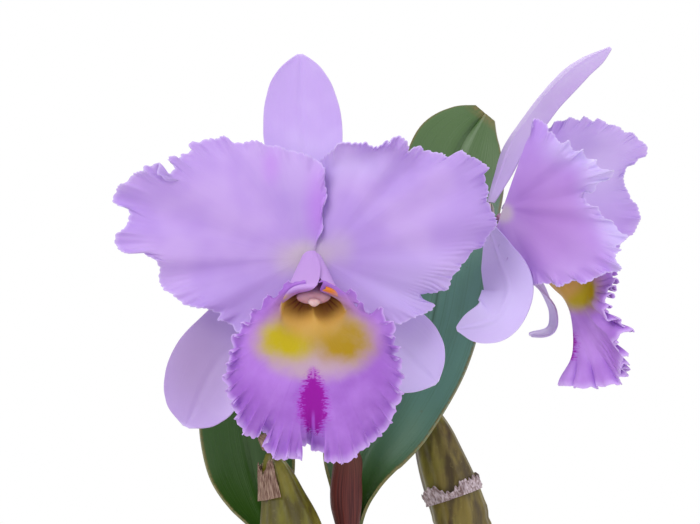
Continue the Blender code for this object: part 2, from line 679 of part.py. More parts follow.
def add_pot(material, collection, cutters):
    """A turned clay pot with a banded rim and four drain holes round the middle of its floor."""
    band_foot = POT_HEIGHT - RIM_BAND_HEIGHT
    under_band = inner_radius(band_foot) + POT_WALL
    profile = (
        (0.0, FLOOR_THICKNESS),
        (inner_radius(FLOOR_THICKNESS), FLOOR_THICKNESS),
        (inner_radius(POT_HEIGHT - 1.5), POT_HEIGHT - 1.5),
        (inner_radius(POT_HEIGHT) + 1.5, POT_HEIGHT),
        (POT_RIM_RADIUS - 2.0, POT_HEIGHT),
        (POT_RIM_RADIUS, POT_HEIGHT - 2.5),
        (POT_RIM_RADIUS - 1.5, band_foot),
        (under_band, band_foot - 1.5),
        (BASE_RADIUS, 2.0),
        (BASE_RADIUS - 2.0, 0.0),
        (0.0, 0.0),
    )
    mesh = bpy.data.meshes.new("pot")
    points = [(x * MM, 0.0, z * MM) for x, z in profile]
    mesh.from_pydata(points, [(i, i + 1) for i in range(len(points) - 1)], [])
    mesh.materials.append(material)
    pot = bpy.data.objects.new("pot", mesh)
    collection.objects.link(pot)
    screw = pot.modifiers.new("Turn", "SCREW")
    screw.steps = screw.render_steps = POT_SIDES
    screw.use_merge_vertices = True
    screw.merge_threshold = 1e-5
    for index in range(4):
        turn = math.radians(45 + 90 * index)
        bm = bmesh.new()
        radius = DRAIN_RADIUS * MM
        bmesh.ops.create_cone(
            bm, cap_ends=True, segments=12, radius1=radius, radius2=radius, depth=4 * FLOOR_THICKNESS * MM
        )
        drain = add_object(f"drain_{index + 1}", bm, None, cutters)
        ring = DRAIN_RING_RADIUS * MM
        drain.location = (ring * math.cos(turn), ring * math.sin(turn), 0.0)
        cut(pot, drain)
    return pot


def add_inside(name, low, high, clearance, collection):
    """A cone that fills the pot between two heights, clear of its wall."""
    bm = bmesh.new()
    bmesh.ops.create_cone(
        bm,
        cap_ends=True,
        segments=POT_SIDES,
        radius1=(inner_radius(low) - clearance) * MM,
        radius2=(inner_radius(high) - clearance) * MM,
        depth=(high - low) * MM,
    )
    bmesh.ops.translate(bm, verts=bm.verts, vec=(0.0, 0.0, 0.5 * (low + high) * MM))
    return add_object(name, bm, None, collection)


def add_chip(index, draw, collection):
    """One bark chip with uneven corners, on a sunflower spiral over the medium."""
    bm = bmesh.new()
    bmesh.ops.create_cube(bm, size=1.0)
    for vert in bm.verts:
        vert.co = [
            value * size * MM * draw.uniform(0.75, 1.1) for value, size in zip(vert.co, CHIP_SIZE)
        ]
    chip = add_object(f"chip_{index}", bm, None, collection)
    reach = CHIP_SPREAD * math.sqrt((index + 0.5) / CHIP_COUNT)
    turn = index * math.radians(GOLDEN_TURN)
    height = BARK_LEVEL + draw.uniform(-0.5, 2.0)
    chip.location = (reach * math.cos(turn) * MM, reach * math.sin(turn) * MM, height * MM)
    tilts = (draw.uniform(-CHIP_TILT, CHIP_TILT), draw.uniform(-CHIP_TILT, CHIP_TILT))
    chip.rotation_euler = (*tilts, draw.uniform(0, math.pi))
    return chip


def root_limb(start, heading):
    """A root that leaves the rhizome, arches over the bark and dives into it."""
    turn = math.radians(heading)
    ahead = (math.cos(turn), math.sin(turn))
    steps = ((0.0, 98.5), (8.0, 101.5), (16.0, 101.0), (22.0, 94.0), (24.0, 84.0))
    route = [(start[0] + ahead[0] * run, start[1] + ahead[1] * run, height) for run, height in steps]
    return Limb(route=tuple(route), radii=((0.0, ROOT_RADIUS), (1.0, ROOT_RADIUS)), end_share=0.08)


def add_rhizome(name, material, collection, swell=0.0):
    """The creeping rhizome with its roots, fused."""
    rhizome = add_limb(name, RHIZOME, 8, 14, material, collection, swell=swell)
    helpers = make_collection(name + "_roots")
    for index, (start, heading) in enumerate(zip(ROOT_STARTS, ROOT_HEADINGS)):
        add_limb(f"{name}_root_{index}", root_limb(start, heading), 5, 7, None, helpers, swell=swell)
    join_collection(rhizome, helpers)
    return rhizome


def add_medium(material, collection, cutters):
    """Bark that fills the pot, with chips on top and plain holes for what stands in it.

    The exact solver leaves it unclosed where chips graze each other, so it takes the manifold one.
    """
    medium = add_inside("bark_medium", FLOOR_THICKNESS + GAP, BARK_LEVEL, 2 * GAP, collection)
    medium.data.materials.append(material)
    draw = random.Random(SEED)
    chips = make_collection("chips")
    for index in range(CHIP_COUNT):
        add_chip(index, draw, chips)
    join_collection(medium, chips, "MANIFOLD")
    inside = add_inside("inside_of_pot", 0.0, POT_HEIGHT, GAP, cutters)
    cut(medium, inside, "INTERSECT", "MANIFOLD")
    rhizome_hole = add_rhizome("rhizome_hole", None, cutters, swell=2.8 * GAP)
    cut(medium, rhizome_hole, solver="MANIFOLD")
    for name, limb in BULBS.items():
        hole = add_limb(name + "_hole", limb, *BULB_GRID, None, cutters, swell=2 * GAP)
        cut(medium, hole, solver="MANIFOLD")
    apply_modifiers(medium)
    drop_scraps(medium)
    medium.data.shade_flat()
    return medium


BULB_GRID = (12, 12)
BULBS = {
    "pseudobulb_flowering": BULB_FLOWERING,
    "pseudobulb_left": BULB_LEFT,
    "pseudobulb_right": BULB_RIGHT,
    "pseudobulb_leafing": BULB_LEAFING,
}
FRONT_SHAPES = {
    "sepals": {
        "dorsal_sepal": FRONT_DORSAL_SEPAL,
        "lateral_sepal_left": FRONT_LATERAL_SEPAL_LEFT,
        "lateral_sepal_right": FRONT_LATERAL_SEPAL_RIGHT,
    },
    "petals": {"petal_left": FRONT_PETAL_LEFT, "petal_right": FRONT_PETAL_RIGHT},
    "lip": FRONT_LIP,
    "column": FRONT_COLUMN,
    "anther": FRONT_ANTHER,
}
SIDE_SHAPES = {
    "sepals": {
        "dorsal_sepal": SIDE_DORSAL_SEPAL,
        "lateral_sepal_left": SIDE_LATERAL_SEPAL_LEFT,
        "lateral_sepal_right": SIDE_LATERAL_SEPAL_RIGHT,
    },
    "petals": {"petal_left": SIDE_PETAL_LEFT, "petal_right": SIDE_PETAL_RIGHT},
    "lip": SIDE_LIP,
    "column": SIDE_COLUMN,
    "anther": SIDE_ANTHER,
}


def add_growth(materials, collection):
    """The rhizome, pseudobulbs, leaves, sheaths and flower stems."""
    add_rhizome("rhizome_with_roots", materials["root"], collection)
    for name, limb in BULBS.items():
        add_limb(name, limb, *BULB_GRID, materials["bulb"], collection)
    add_limb("leaf_stub", LEAF_STUB, 7, 4, materials["dry"], collection)
    for name, blade in (("leaf_big", LEAF_BIG), ("leaf_left", LEAF_LEFT)):
        add_sheet(
            name,
            lambda u, v, s=blade: rib_points(s, u, v),
            6,
            18,
            materials["leaf"],
            collection,
            thickness=LEAF_BLADE,
        )
    add_sheet("spathe", lambda u, v: rib_points(SPATHE, u, v), 12, 7, materials["spathe"], collection)
    for name, limb, wrap in (
        ("dried_sheath", BULB_LEFT, DRIED_SHEATH_WRAP),
        ("node_remnant", BULB_RIGHT, NODE_REMNANT_WRAP),
    ):
        add_sheet(
            name, lambda u, v, s=limb, w=wrap: wrap_points(s, w, u, v), 14, 3, materials["dry"], collection
        )
    add_limb("peduncle", PEDUNCLE, 8, 10, materials["stem"], collection)
    add_limb("front_pedicel", FRONT_PEDICEL, 8, 12, materials["stem"], collection)
    add_limb("side_pedicel", SIDE_PEDICEL, 8, 12, materials["stem"], collection)


def main():
    clear_scene()
    plant = make_collection("cattleya_orchid")
    cutters = make_collection("cutters", helper=True)
    materials = {
        "clay": make_material("clay", (0.62, 0.31, 0.19), 0.85),
        "bark": make_material("bark", (0.22, 0.13, 0.08), 0.9),
        "root": make_material("root", (0.55, 0.57, 0.44), 0.7),
        "bulb": make_material("bulb", (0.28, 0.27, 0.08), 0.5),
        "leaf": make_material("leaf", (0.12, 0.24, 0.11), 0.4),
        "dry": make_material("dry sheath", (0.45, 0.34, 0.29), 0.85),
        "spathe": make_material("spathe", (0.22, 0.05, 0.06), 0.5),
        "stem": make_material("stem", (0.42, 0.5, 0.2), 0.5),
        "petal": make_material("petal", (0.6, 0.42, 0.84), 0.55),
        "lip": make_material("lip", (0.45, 0.16, 0.65), 0.5),
        "column": make_material("column", (0.78, 0.5, 0.68), 0.45),
        "anther": make_material("anther cap", (0.9, 0.82, 0.75), 0.5),
    }
    add_pot(materials["clay"], plant, cutters)
    add_medium(materials["bark"], plant, cutters)
    add_growth(materials, plant)
    add_bloom("front", FRONT_BLOOM_AT, FRONT_BLOOM_TURN, FRONT_SHAPES, materials, plant)
    add_bloom("side", SIDE_BLOOM_AT, SIDE_BLOOM_TURN, SIDE_SHAPES, materials, plant)


if __name__ == "__main__":
    main()
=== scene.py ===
"""Looks for a potted cattleya orchid with two blooms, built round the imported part.

Shapes are worked out in millimetres and placed in metres. The origin is the centre of the
pot's flat base, +Z is up and the open bloom faces -Y. In a bloom's own frame x runs to the
right of someone looking into it, z runs up and -y points out of the bloom. Traced margins
are in grid steps of the camera's view, counted from its upper left corner.
"""

import logging
import math
from dataclasses import dataclass
from enum import Enum
from typing import Callable

import bpy
import numpy as np
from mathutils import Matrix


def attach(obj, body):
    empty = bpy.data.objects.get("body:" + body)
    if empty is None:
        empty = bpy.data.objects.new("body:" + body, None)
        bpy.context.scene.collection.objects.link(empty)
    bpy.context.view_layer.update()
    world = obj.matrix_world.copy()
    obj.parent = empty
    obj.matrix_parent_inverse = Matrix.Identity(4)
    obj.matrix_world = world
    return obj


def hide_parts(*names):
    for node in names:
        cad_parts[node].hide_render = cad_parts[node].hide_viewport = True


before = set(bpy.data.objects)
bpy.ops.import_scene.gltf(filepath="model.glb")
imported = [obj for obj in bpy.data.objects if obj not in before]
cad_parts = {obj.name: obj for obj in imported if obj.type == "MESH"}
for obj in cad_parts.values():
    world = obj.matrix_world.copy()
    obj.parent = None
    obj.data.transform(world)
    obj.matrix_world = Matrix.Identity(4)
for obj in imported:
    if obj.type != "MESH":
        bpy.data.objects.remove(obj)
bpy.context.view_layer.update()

Array = np.ndarray
Rows = tuple[tuple[float, ...], ...]
Point = tuple[float, float, float]
Pair = tuple[float, float]
Colour = tuple[float, float, float]
Grid = tuple[int, int]
Surface = Callable[[Array, Array], Array]
Socket = bpy.types.NodeSocket
Material = bpy.types.Material
Piece = bpy.types.Object

log = logging.getLogger("cattleya")

MM = 0.001
BODY = "root"
TINY = 1e-3
TURN = 360.0
GOLDEN_ANGLE = 137.508
FACE_UNIT = 100.0  # millimetres to a unit of the face map
MARGIN_STEPS = 600
END_CROWDING = 0.75
SHEET_CREASE = 50.0  # degrees over which an edge stays sharp
DRIFT_LENGTH = 512
FLAT = ((-400.0, 0.0), (400.0, 0.0))  # a table by angle that is 0 all round

# The camera, and how its view's grid steps become millimetres
CAMERA_AT = (-22.9, -1040.0, 322.0)
CAMERA_LENS = 123.4
CAMERA_SENSOR = 36.0
CAMERA_REACH = 20.0
VIEW_MIDDLE = (350.0, 262.0)
VIEW_STEP = 0.4167
VIEW_DEPTH = 1000.0


class Slot(Enum):
    """The record's material slots."""

    TERRACOTTA = "terracotta"
    BARK = "bark"
    ROOT = "root"
    PSEUDOBULB = "pseudobulb"
    LEAF = "leaf"
    SPATHE = "spathe"
    STEM = "stem"
    COLUMN = "column"
    ANTHER = "anther"
    DRY_SHEATH = "dry_sheath"
    PETAL = "petal"
    LIP = "lip"


class Tint(Enum):
    """The second colours of a petal, each stored as a number on its points. Some of them are painted light or
    painted shade.
    """

    # A pink flush, also painted shade where the left petal's inner edge curls back
    FLUSH = "flush_and_painted_shade"
    CREAM = "cream"
    # A paler lilac, also painted light on lit lobes and folds
    PALE_AND_PAINTED_LIGHT = "pale"
    # Painted shade: a darker lilac where the side bloom's near petal turns its face from the light
    PAINTED_SHADE = "painted_shade"
    # Painted shade: a darker grey-lilac on sepals that lie in shade
    GREY_PAINTED_SHADE = "grey_painted_shade"


def curve_through(rows: Rows | Array, x: Array) -> Array:
    """Reads a smooth curve.

    Args:
        rows: Rows of (key, value, ...), with keys rising.
        x: Where to read it.

    Returns:
        One row of values for each x.
    """
    keys = np.array([row[0] for row in rows], float)
    values = np.array([row[1:] for row in rows], float)
    slopes = np.gradient(values, keys, axis=0)
    x = np.atleast_1d(np.asarray(x, float))
    place = np.clip(np.searchsorted(keys, x) - 1, 0, len(keys) - 2)
    step = (keys[place + 1] - keys[place])[:, None]
    s = np.clip((x - keys[place])[:, None] / step, 0.0, 1.0)
    start = values[place] * (1 + 2 * s) * (1 - s) ** 2
    end = values[place + 1] * s * s * (3 - 2 * s)
    lean = slopes[place] * s * (1 - s) ** 2 + slopes[place + 1] * s * s * (s - 1)
    return start + end + lean * step


def table(rows: Rows, x: Array) -> Array:
    """Reads a table of (key, value) at every x, whatever the shape of x."""
    x = np.asarray(x, float)
    return curve_through(rows, x.ravel())[:, 0].reshape(x.shape)


def along_route(points: Rows | Array, share: Array) -> Array:
    """Reads a smooth route.

    Args:
        points: The points that it passes through.
        share: Shares of its length.

    Returns:
        One point for each share.
    """
    points = np.array(points, float)
    lengths = np.linalg.norm(np.diff(points, axis=0), axis=1)
    keys = np.concatenate([[0.0], np.cumsum(lengths)]) / lengths.sum()
    return curve_through(np.column_stack([keys, points]), share)


def unit(vectors: Array) -> Array:
    """Scales each vector to a length of one."""
    return vectors / np.linalg.norm(vectors, axis=-1, keepdims=True)


def route_frame(points: Rows, share: Array) -> tuple[Array, Array]:
    """Reads where a route is and where it heads.

    Args:
        points: The points that it passes through.
        share: Shares of its length.

    Returns:
        Its centre and its direction at each share.
    """
    before = along_route(points, np.clip(share - TINY, 0.0, 1.0))
    after = along_route(points, np.clip(share + TINY, 0.0, 1.0))
    return along_route(points, share), unit(after - before)


def smooth_step(x: Array) -> Array:
    """Rises softly from 0 to 1 as x does."""
    x = np.clip(x, 0.0, 1.0)
    return x * x * (3 - 2 * x)


def ramp(x: Array, start: float, end: float = 1.0) -> Array:
    """Rises softly from 0 to 1 as x goes from start to end."""
    return smooth_step((x - start) / (end - start))


def rotate(angle: float | Array, x: Array, y: float | Array) -> Array:
    """Turns points about the origin.

    Args:
        angle: In degrees, anticlockwise.
        x: Their first coordinate.
        y: Their second coordinate.

    Returns:
        Both coordinates after the turn, in the last axis.
    """
    c, s = np.cos(np.radians(angle)), np.sin(np.radians(angle))
    return np.stack([x * c - y * s, x * s + y * c], -1)


def eased(share: Array) -> Array:
    """Crowds shares of a length towards its two ends."""
    return share - END_CROWDING * np.sin(math.tau * share) / math.tau


def drift(x: Array, seed: int) -> Array:
    """Wanders softly between -1 and 1, about once for each unit of x.

    Args:
        x: Where to read it.
        seed: Picks one of many such lines.

    Returns:
        One value for each x.
    """
    values = np.random.default_rng(seed).uniform(-1.0, 1.0, DRIFT_LENGTH)
    low = np.floor(x).astype(int)
    s = smooth_step(x - low)
    return values[low % DRIFT_LENGTH] * (1 - s) + values[(low + 1) % DRIFT_LENGTH] * s


def wander(u: Array, count: float, seed: int) -> Array:
    """How far a ruffle strays from an even spacing, in turns."""
    return 0.45 * drift(u * count * 0.4, seed)


def ruffle(u: Array, count: float, seed: int) -> Array:
    """Makes ruffles of uneven width and height.

    Args:
        u: Where to read them.
        count: About how many there are as u goes from 0 to 1.
        seed: Picks one of many such lines.

    Returns:
        One value for each u, between -1 and 1.
    """
    height = 0.7 + 0.3 * drift(u * count * 0.7, seed + 1)
    return height * np.sin(math.tau * (count * u + wander(u, count, seed)))


def soften(points: Array, reach: float) -> Array:
    """Smooths a line of evenly spaced points.

    Args:
        points: The points, with their two ends kept in place.
        reach: How far the smoothing reaches, in points.

    Returns:
        The smoothed line.
    """
    span = int(3 * reach)
    weights = np.exp(-0.5 * (np.arange(-span, span + 1) / reach) ** 2)
    weights /= weights.sum()
    before = 2 * points[0] - points[span:0:-1]
    after = 2 * points[-1] - points[-2 : -span - 2 : -1]
    padded = np.concatenate([before, points, after])
    return np.stack([np.convolve(padded[:, i], weights, "valid") for i in range(points.shape[1])], 1)


def traced(steps: Rows, centre: Pair, depth: float) -> Array:
    """Turns a margin traced on the view's grid into millimetres in a bloom's frame.

    Args:
        steps: Points on the grid.
        centre: The bloom's place across and up, in millimetres.
        depth: How far the margin stands behind the view's own plane.

    Returns:
        Points across and up.
    """
    steps = np.array(steps, float)
    size = VIEW_STEP * (1 + depth / VIEW_DEPTH)
    across = CAMERA_AT[0] + (steps[:, 0] - VIEW_MIDDLE[0]) * size - centre[0]
    up = CAMERA_AT[2] + (VIEW_MIDDLE[1] - steps[:, 1]) * size - centre[1]
    return np.column_stack([across, up])


def polar(rows: Rows) -> Array:
    """Turns (angle in degrees, reach) about a claw into points across and up."""
    angle, reach = np.array(rows, float).T
    return rotate(angle, reach, 0.0)


def spokes(
    margin: Array, softening: float, middle: Array, first: float, u: Array
) -> tuple[Array, Array, Array]:
    """Reads a margin as spokes that meet in its middle.

    Args:
        margin: Its points, across and up.
        softening: Over what length its teeth are smoothed away, in millimetres.
        middle: Where the spokes meet, across and up.
        first: The first spoke's angle in degrees, give or take half a turn.
        u: Shares of the way along the margin.

    Returns:
        Each spoke's angle in degrees, its reach, and the step from its end to the true margin.
    """
    even = np.linspace(0.0, 1.0, MARGIN_STEPS)
    line = along_route(margin, even)
    step = np.linalg.norm(np.diff(line, axis=0), axis=1).mean()
    smooth = soften(line, softening / step)
    true = np.stack([np.interp(u, even, line[:, i]) for i in (0, 1)], 1)
    soft = np.stack([np.interp(u, even, smooth[:, i]) for i in (0, 1)], 1)
    spoke = soft - middle
    angle = np.degrees(np.unwrap(np.arctan2(spoke[:, 1], spoke[:, 0])))
    angle = np.maximum.accumulate(angle)
    angle += TURN * round((first - angle[0]) / TURN)
    return angle, np.linalg.norm(spoke, axis=1), true - soft


@dataclass(frozen=True)
class Place:
    """Where a bloom's claws meet, and how far it is turned about the vertical, in degrees."""

    at: Point
    turn: float

    def set(self, points: Array) -> Array:
        """Takes points from the bloom's frame to the plant's."""
        flat = rotate(self.turn, points[..., 0], points[..., 1])
        return np.concatenate([flat, points[..., 2:]], -1) + np.array(self.at)

    def undo(self, points: Array) -> Array:
        """Takes points from the plant's frame back to the bloom's."""
        points = points - np.array(self.at)
        return np.concatenate([rotate(-self.turn, points[..., 0], points[..., 1]), points[..., 2:]], -1)


PLANT = Place((0.0, 0.0, 0.0), 0.0)


@dataclass(frozen=True)
class Frill:
    """How a margin is ruffled, toothed and pleated."""

    count: float
    height: float
    start: float = 0.62
    sway: float = 0.5
    rim_start: float = 0.84
    crimp_count: float = 3.1
    crimp: float = 0.22
    teeth: float = 0.45
    tooth_start: float = 0.86
    tooth_count: float = 120.0
    pleats: Rows = FLAT
    pleat_count: float = 90.0
    pleat_start: float = 0.78
    seed: int = 3

    def forward(self, u: Array, v: Array, angle: Array) -> Array:
        """Works out how far the frill pushes each point out of the bloom.

        Args:
            u: Shares of the way along the margin.
            v: Shares of the way out to it.
            angle: The angle of each point's vein, in degrees.

        Returns:
            Millimetres forward.
        """
        waves = self.height * ramp(v, self.start) ** 2 * ruffle(u, self.count, self.seed)
        crimp = self.crimp * self.height * ramp(v, self.rim_start)
        crimp = crimp * ruffle(u, self.crimp_count * self.count, self.seed + 5)
        pleats = table(self.pleats, angle) * ramp(v, self.pleat_start)
        return waves + crimp + pleats * ruffle(u, self.pleat_count, self.seed + 9)

    def sideways(self, u: Array, v: Array) -> Array:
        """How far the frill swings each point along the margin, in millimetres."""
        swing = np.cos(math.tau * (self.count * u + wander(u, self.count, self.seed)))
        return self.sway * self.height * ramp(v, self.start) ** 2 * swing

    def tooth(self, u: Array, v: Array) -> Array:
        """Works out how far each point stands out beyond the even margin.

        Args:
            u: Shares of the way along the margin.
            v: Shares of the way out to it.

        Returns:
            Millimetres outward.
        """
        stray = 0.8 * drift(u * self.tooth_count * 0.5, self.seed + 2)
        fine = np.abs(np.sin(math.pi * (self.tooth_count * u + stray)))
        coarse = drift(u * self.tooth_count * 0.35, self.seed + 3)
        return self.teeth * ramp(v, self.tooth_start) * (1.1 * fine - 0.7 + 0.7 * coarse)


@dataclass(frozen=True)
class FanPetal:
    """A broad petal whose veins fan out from its claw. Each table is read by the vein's angle in degrees."""

    claw: Point
    margin: Array
    rise: Rows
    curl: Rows
    folds: Rows
    frill: Frill
    over: Rows = FLAT
    over_start: float = 0.8
    rise_end: float = 0.25
    curl_start: float = 0.5
    detail_start: float = 0.8
    fold_power: float = 2.5
    spreading: float = 0.01
    softening: float = 9.0

    def surface(self, u: Array, v: Array) -> Array:
        """Works out the petal.

        Args:
            u: Shares of the way along the margin, in one row.
            v: Shares of the way from claw to margin.

        Returns:
            Points by row, column and axis.
        """
        claw = np.array([self.claw[0], self.claw[2]])
        angle, reach, fine = spokes(self.margin, self.softening, claw, self.rise[0][0], u)
        # Veins at one angle are parted a little, so that no two columns meet
        angle = angle + self.spreading * np.arange(len(u)) / len(u)
        v, u = np.meshgrid(v, u, indexing="ij")
        tilt = table(self.rise, angle)[None] * ramp(v, 0.0, self.rise_end)
        tilt = tilt + table(self.curl, angle)[None] * ramp(v, self.curl_start)
        tilt = np.radians(tilt + table(self.over, angle)[None] * ramp(v, self.over_start))
        run = np.diff(v, axis=0)
        middle = 0.5 * (tilt[1:] + tilt[:-1])
        out = np.cumsum(np.vstack([v[:1], run * np.cos(middle)]), axis=0)
        ahead = np.cumsum(np.vstack([0 * v[:1], run * np.sin(middle)]), axis=0)
        scale = reach[None] / out.max(axis=0)[None]
        angles = np.broadcast_to(angle[None], v.shape)
        out = out * scale + self.frill.tooth(u, v)
        folds = table(self.folds, angle)[None] * v**self.fold_power
        ahead = ahead * scale + folds + self.frill.forward(u, v, angles)
        detail = (ramp(v, self.detail_start) ** 2)[..., None] * fine[None]
        flat = claw + rotate(angles, out, self.frill.sideways(u, v)) + detail
        return np.stack([flat[..., 0], self.claw[1] - ahead, flat[..., 1]], -1)


@dataclass(frozen=True)
class RibBlade:
    """A blade spread along a midrib. Each table is read by the share of the length."""

    midrib: Rows
    half_width: Rows
    roll: Rows
    face: Rows
    groove: float = 0.5
    groove_width: float = 0.1
    waver: float = 0.4
    waver_count: float = 5.0
    unevenness: float = 0.02
    uneven_count: float = 9.0
    seed: int = 11

    def surface(self, u: Array, v: Array) -> Array:
        """Works out the blade.

        Args:
            u: Shares of the way across, in one row.
            v: Shares of the way along the midrib.

        Returns:
            Points by row, column and axis.
        """
        centre, forward = route_frame(self.midrib, v)
        side = unit(np.cross(forward, curve_through(self.face, v)))
        normal = np.cross(side, forward)
        v, u = np.meshgrid(v, u, indexing="ij")
        across = 2 * u - 1
        uneven = drift(v * self.uneven_count + 40 * (across > 0), self.seed)
        half = table(self.half_width, v)
        half = half * (1 + self.unevenness * uneven * np.abs(across))
        roll = np.radians(table(self.roll, v))
        roll = np.where(np.abs(roll) < TINY, TINY, roll)
        sideways = half * np.sin(roll * across) / roll
        raised = half * (1 - np.cos(roll * across)) / roll
        fullness = smooth_step(half / half.max() * 1.5)
        raised = raised - self.groove * fullness * np.exp(-((across / self.groove_width) ** 2))
        lean = drift(v * self.waver_count + 60 * (across > 0), self.seed + 1)
        raised = raised + self.waver * lean * np.abs(across) ** 3 * fullness
        return centre[:, None] + side[:, None] * sideways[..., None] + normal[:, None] * raised[..., None]


@dataclass(frozen=True)
class Leaf(RibBlade):
    """A leaf with a deep, narrow groove and a slow waver."""

    groove: float = 1.3
    groove_width: float = 0.09
    waver: float = 0.9
    waver_count: float = 4.0


@dataclass(frozen=True)
class Lip:
    """A lip rolled into a tube round the column, then spread into a frilled blade. Angles are in degrees."""

    base: Point
    mouth: Point
    margin: Array
    margin_forward: Rows
    swell: float
    folds: Rows
    frill: Frill
    base_radius: float = 4.2
    mouth_radius: float = 11.6
    flat: float = 0.94
    corner: float = 3.5
    seam: float = 76.0
    gap: float = 9.0
    lap: float = 6.0
    inner_forward: Rows = ((-254.0, 2.5), (73.0, 2.5))
    overlap: float = 0.14
    overlap_start: float = 0.88
    detail_start: float = 0.8
    fold_start: float = 0.55
    softening: float = 7.0
    first_angle: float = -254.0
    stations: tuple[float, ...] = (0.0, 0.18, 0.36, 0.48, 0.74, 1.0)

    def ring(self, share: float, radius: float, turn: Array, tucked: Array) -> Array:
        """Works out one ring of the tube, flatter below and squarer towards its mouth.

        Args:
            share: Where it is on the way from the tube's base to its mouth.
            radius: Its radius where nothing flattens it.
            turn: Angles round it.
            tucked: The share of the radius that each point keeps.

        Returns:
            One point for each angle.
        """
        base, length = np.array(self.base), np.array(self.mouth) - np.array(self.base)
        right = np.array([1.0, 0.0, 0.0])
        above = np.cross(unit(length), right)
        c, s = np.cos(np.radians(turn)), np.sin(np.radians(turn))
        square = (np.abs(c) ** self.corner + np.abs(s) ** self.corner) ** (-share / self.corner)
        radius = radius * square * tucked * (1 - self.flat * share * np.clip(-s, 0.0, 1.0))
        return base + share * length + radius[:, None] * (right * c[:, None] + above * s[:, None])

    def spread(self, angle: Array, radius: Array, forward: Array) -> Array:
        """Works out one line of the spread blade.

        Args:
            angle: Angles about the tube's mouth.
            radius: Distances from it.
            forward: How far the line stands out of the bloom.

        Returns:
            One point for each angle.
        """
        flat = rotate(angle, radius, 0.0)
        return np.array(self.mouth) + np.column_stack([flat[:, 0], -forward, flat[:, 1]])

    def surface(self, u: Array, v: Array) -> Array:
        """Works out the lip.

        Args:
            u: Shares of the way along the margin, in one row.
            v: Shares of the way from the tube's base to the margin.

        Returns:
            Points by row, column and axis.
        """
        middle = np.array([self.mouth[0], self.mouth[2]])
        angle, reach, fine = spokes(self.margin, self.softening, middle, self.first_angle, u)
        share = (angle - angle[0]) / (angle[-1] - angle[0])
        closed = self.seam - TURN - self.lap + (TURN + 2 * self.lap) * share
        parted = self.seam - TURN + self.gap + (TURN - 2 * self.gap) * share
        tuck = 1 - self.overlap * ramp(u, self.overlap_start)
        edge = table(self.margin_forward, angle)
        inner = np.full_like(angle, self.mouth_radius * 1.12)
        lines = np.stack(
            [
                self.ring(0.0, self.base_radius, closed, tuck),
                self.ring(0.5, 0.52 * (self.base_radius + self.mouth_radius), closed, tuck),
                self.ring(0.97, self.mouth_radius, parted, 0.5 + 0.5 * tuck),
                self.spread(angle, np.minimum(inner, reach * 0.75), table(self.inner_forward, angle)),
                self.spread(angle, 0.45 * inner + 0.55 * reach, self.swell + 0.45 * edge),
                self.spread(angle, reach, edge),
            ]
        )
        rows = np.column_stack([self.stations, lines.reshape(len(self.stations), -1)])
        points = curve_through(rows, v).reshape(len(v), len(u), 3)
        v, u = np.meshgrid(v, u, indexing="ij")
        angles = np.broadcast_to(angle[None], v.shape)
        flat = rotate(angles, self.frill.tooth(u, v), self.frill.sideways(u, v))
        flat = flat + ramp(v, self.detail_start)[..., None] * fine[None]
        folds = table(self.folds, angle)[None] * ramp(v, self.fold_start) ** 2
        points[..., [0, 2]] += flat
        points[..., 1] -= folds + self.frill.forward(u, v, angles)
        return points


@dataclass(frozen=True)
class Limb:
    """A round stem. Its radii and breadths are read by the share of the length."""

    route: Rows
    radii: Rows
    end_share: float = 0.12
    breadth: Rows = ((0.0, 1.0), (1.0, 1.0))
    ridges: int = 0
    ridge_depth: float = 0.0
    joints: tuple[float, ...] = ()
    joint_depth: float = 0.06
    joint_width: float = 0.008
    collar_step: float = 0.02
    collar_width: float = 0.012
    lumps: float = 0.0
    seed: int = 21

    def surface(self, turn: Array, share: Array) -> Array:
        """Works out the stem's skin.

        Args:
            turn: Angles round it in radians, one for each point.
            share: Shares of the way along it, one for each point.

        Returns:
            One point for each pair.
        """
        share = eased(share)
        centre, forward = route_frame(self.route, share)
        lies_across = abs(forward[len(forward) // 2, 0]) >= 0.8
        level = np.array([0.0, 0.0, 1.0] if lies_across else [1.0, 0.0, 0.0])
        side = unit(np.cross(forward, np.cross(level, forward)))
        other = np.cross(forward, side)
        from_end = np.clip(np.minimum(share, 1 - share) / self.end_share, 0.0, 1.0)
        radius = table(self.radii, share) * np.sqrt(1 - (1 - from_end) ** 2)
        twist = 3 * drift(2.5 * share, self.seed)
        radius = radius * (1 + self.ridge_depth * np.cos(self.ridges * turn + twist))
        for joint in self.joints:
            groove = np.exp(-(((share - joint) / self.joint_width) ** 2))
            collar = np.exp(-(((share - joint - self.collar_step) / self.collar_width) ** 2))
            radius = radius * (1 - self.joint_depth * groove) * (1 + 0.5 * self.joint_depth * collar)
        if self.lumps:
            radius = radius * (1 + self.lumps * drift(share * 14 + 0.6 * np.sin(turn), self.seed + 1))
        across = (radius * np.cos(turn) * table(self.breadth, share))[:, None]
        deep = (radius * np.sin(turn))[:, None]
        return centre + side * across + other * deep


@dataclass(frozen=True)
class Bulb(Limb):
    """A swollen stem, finely ribbed and a little lumpy."""

    ridges: int = 9
    ridge_depth: float = 0.035
    lumps: float = 0.012


@dataclass(frozen=True)
class Column(Limb):
    """A bloom's column, keeled along its sides."""

    radii: Rows = ((0.0, 2.3), (0.4, 2.4), (0.8, 2.9), (1.0, 3.2))
    ridges: int = 2
    ridge_depth: float = 0.04


@dataclass(frozen=True)
class Anther(Limb):
    """The rounded cap at a column's tip."""

    end_share: float = 0.4
    ridges: int = 2
    ridge_depth: float = 0.08


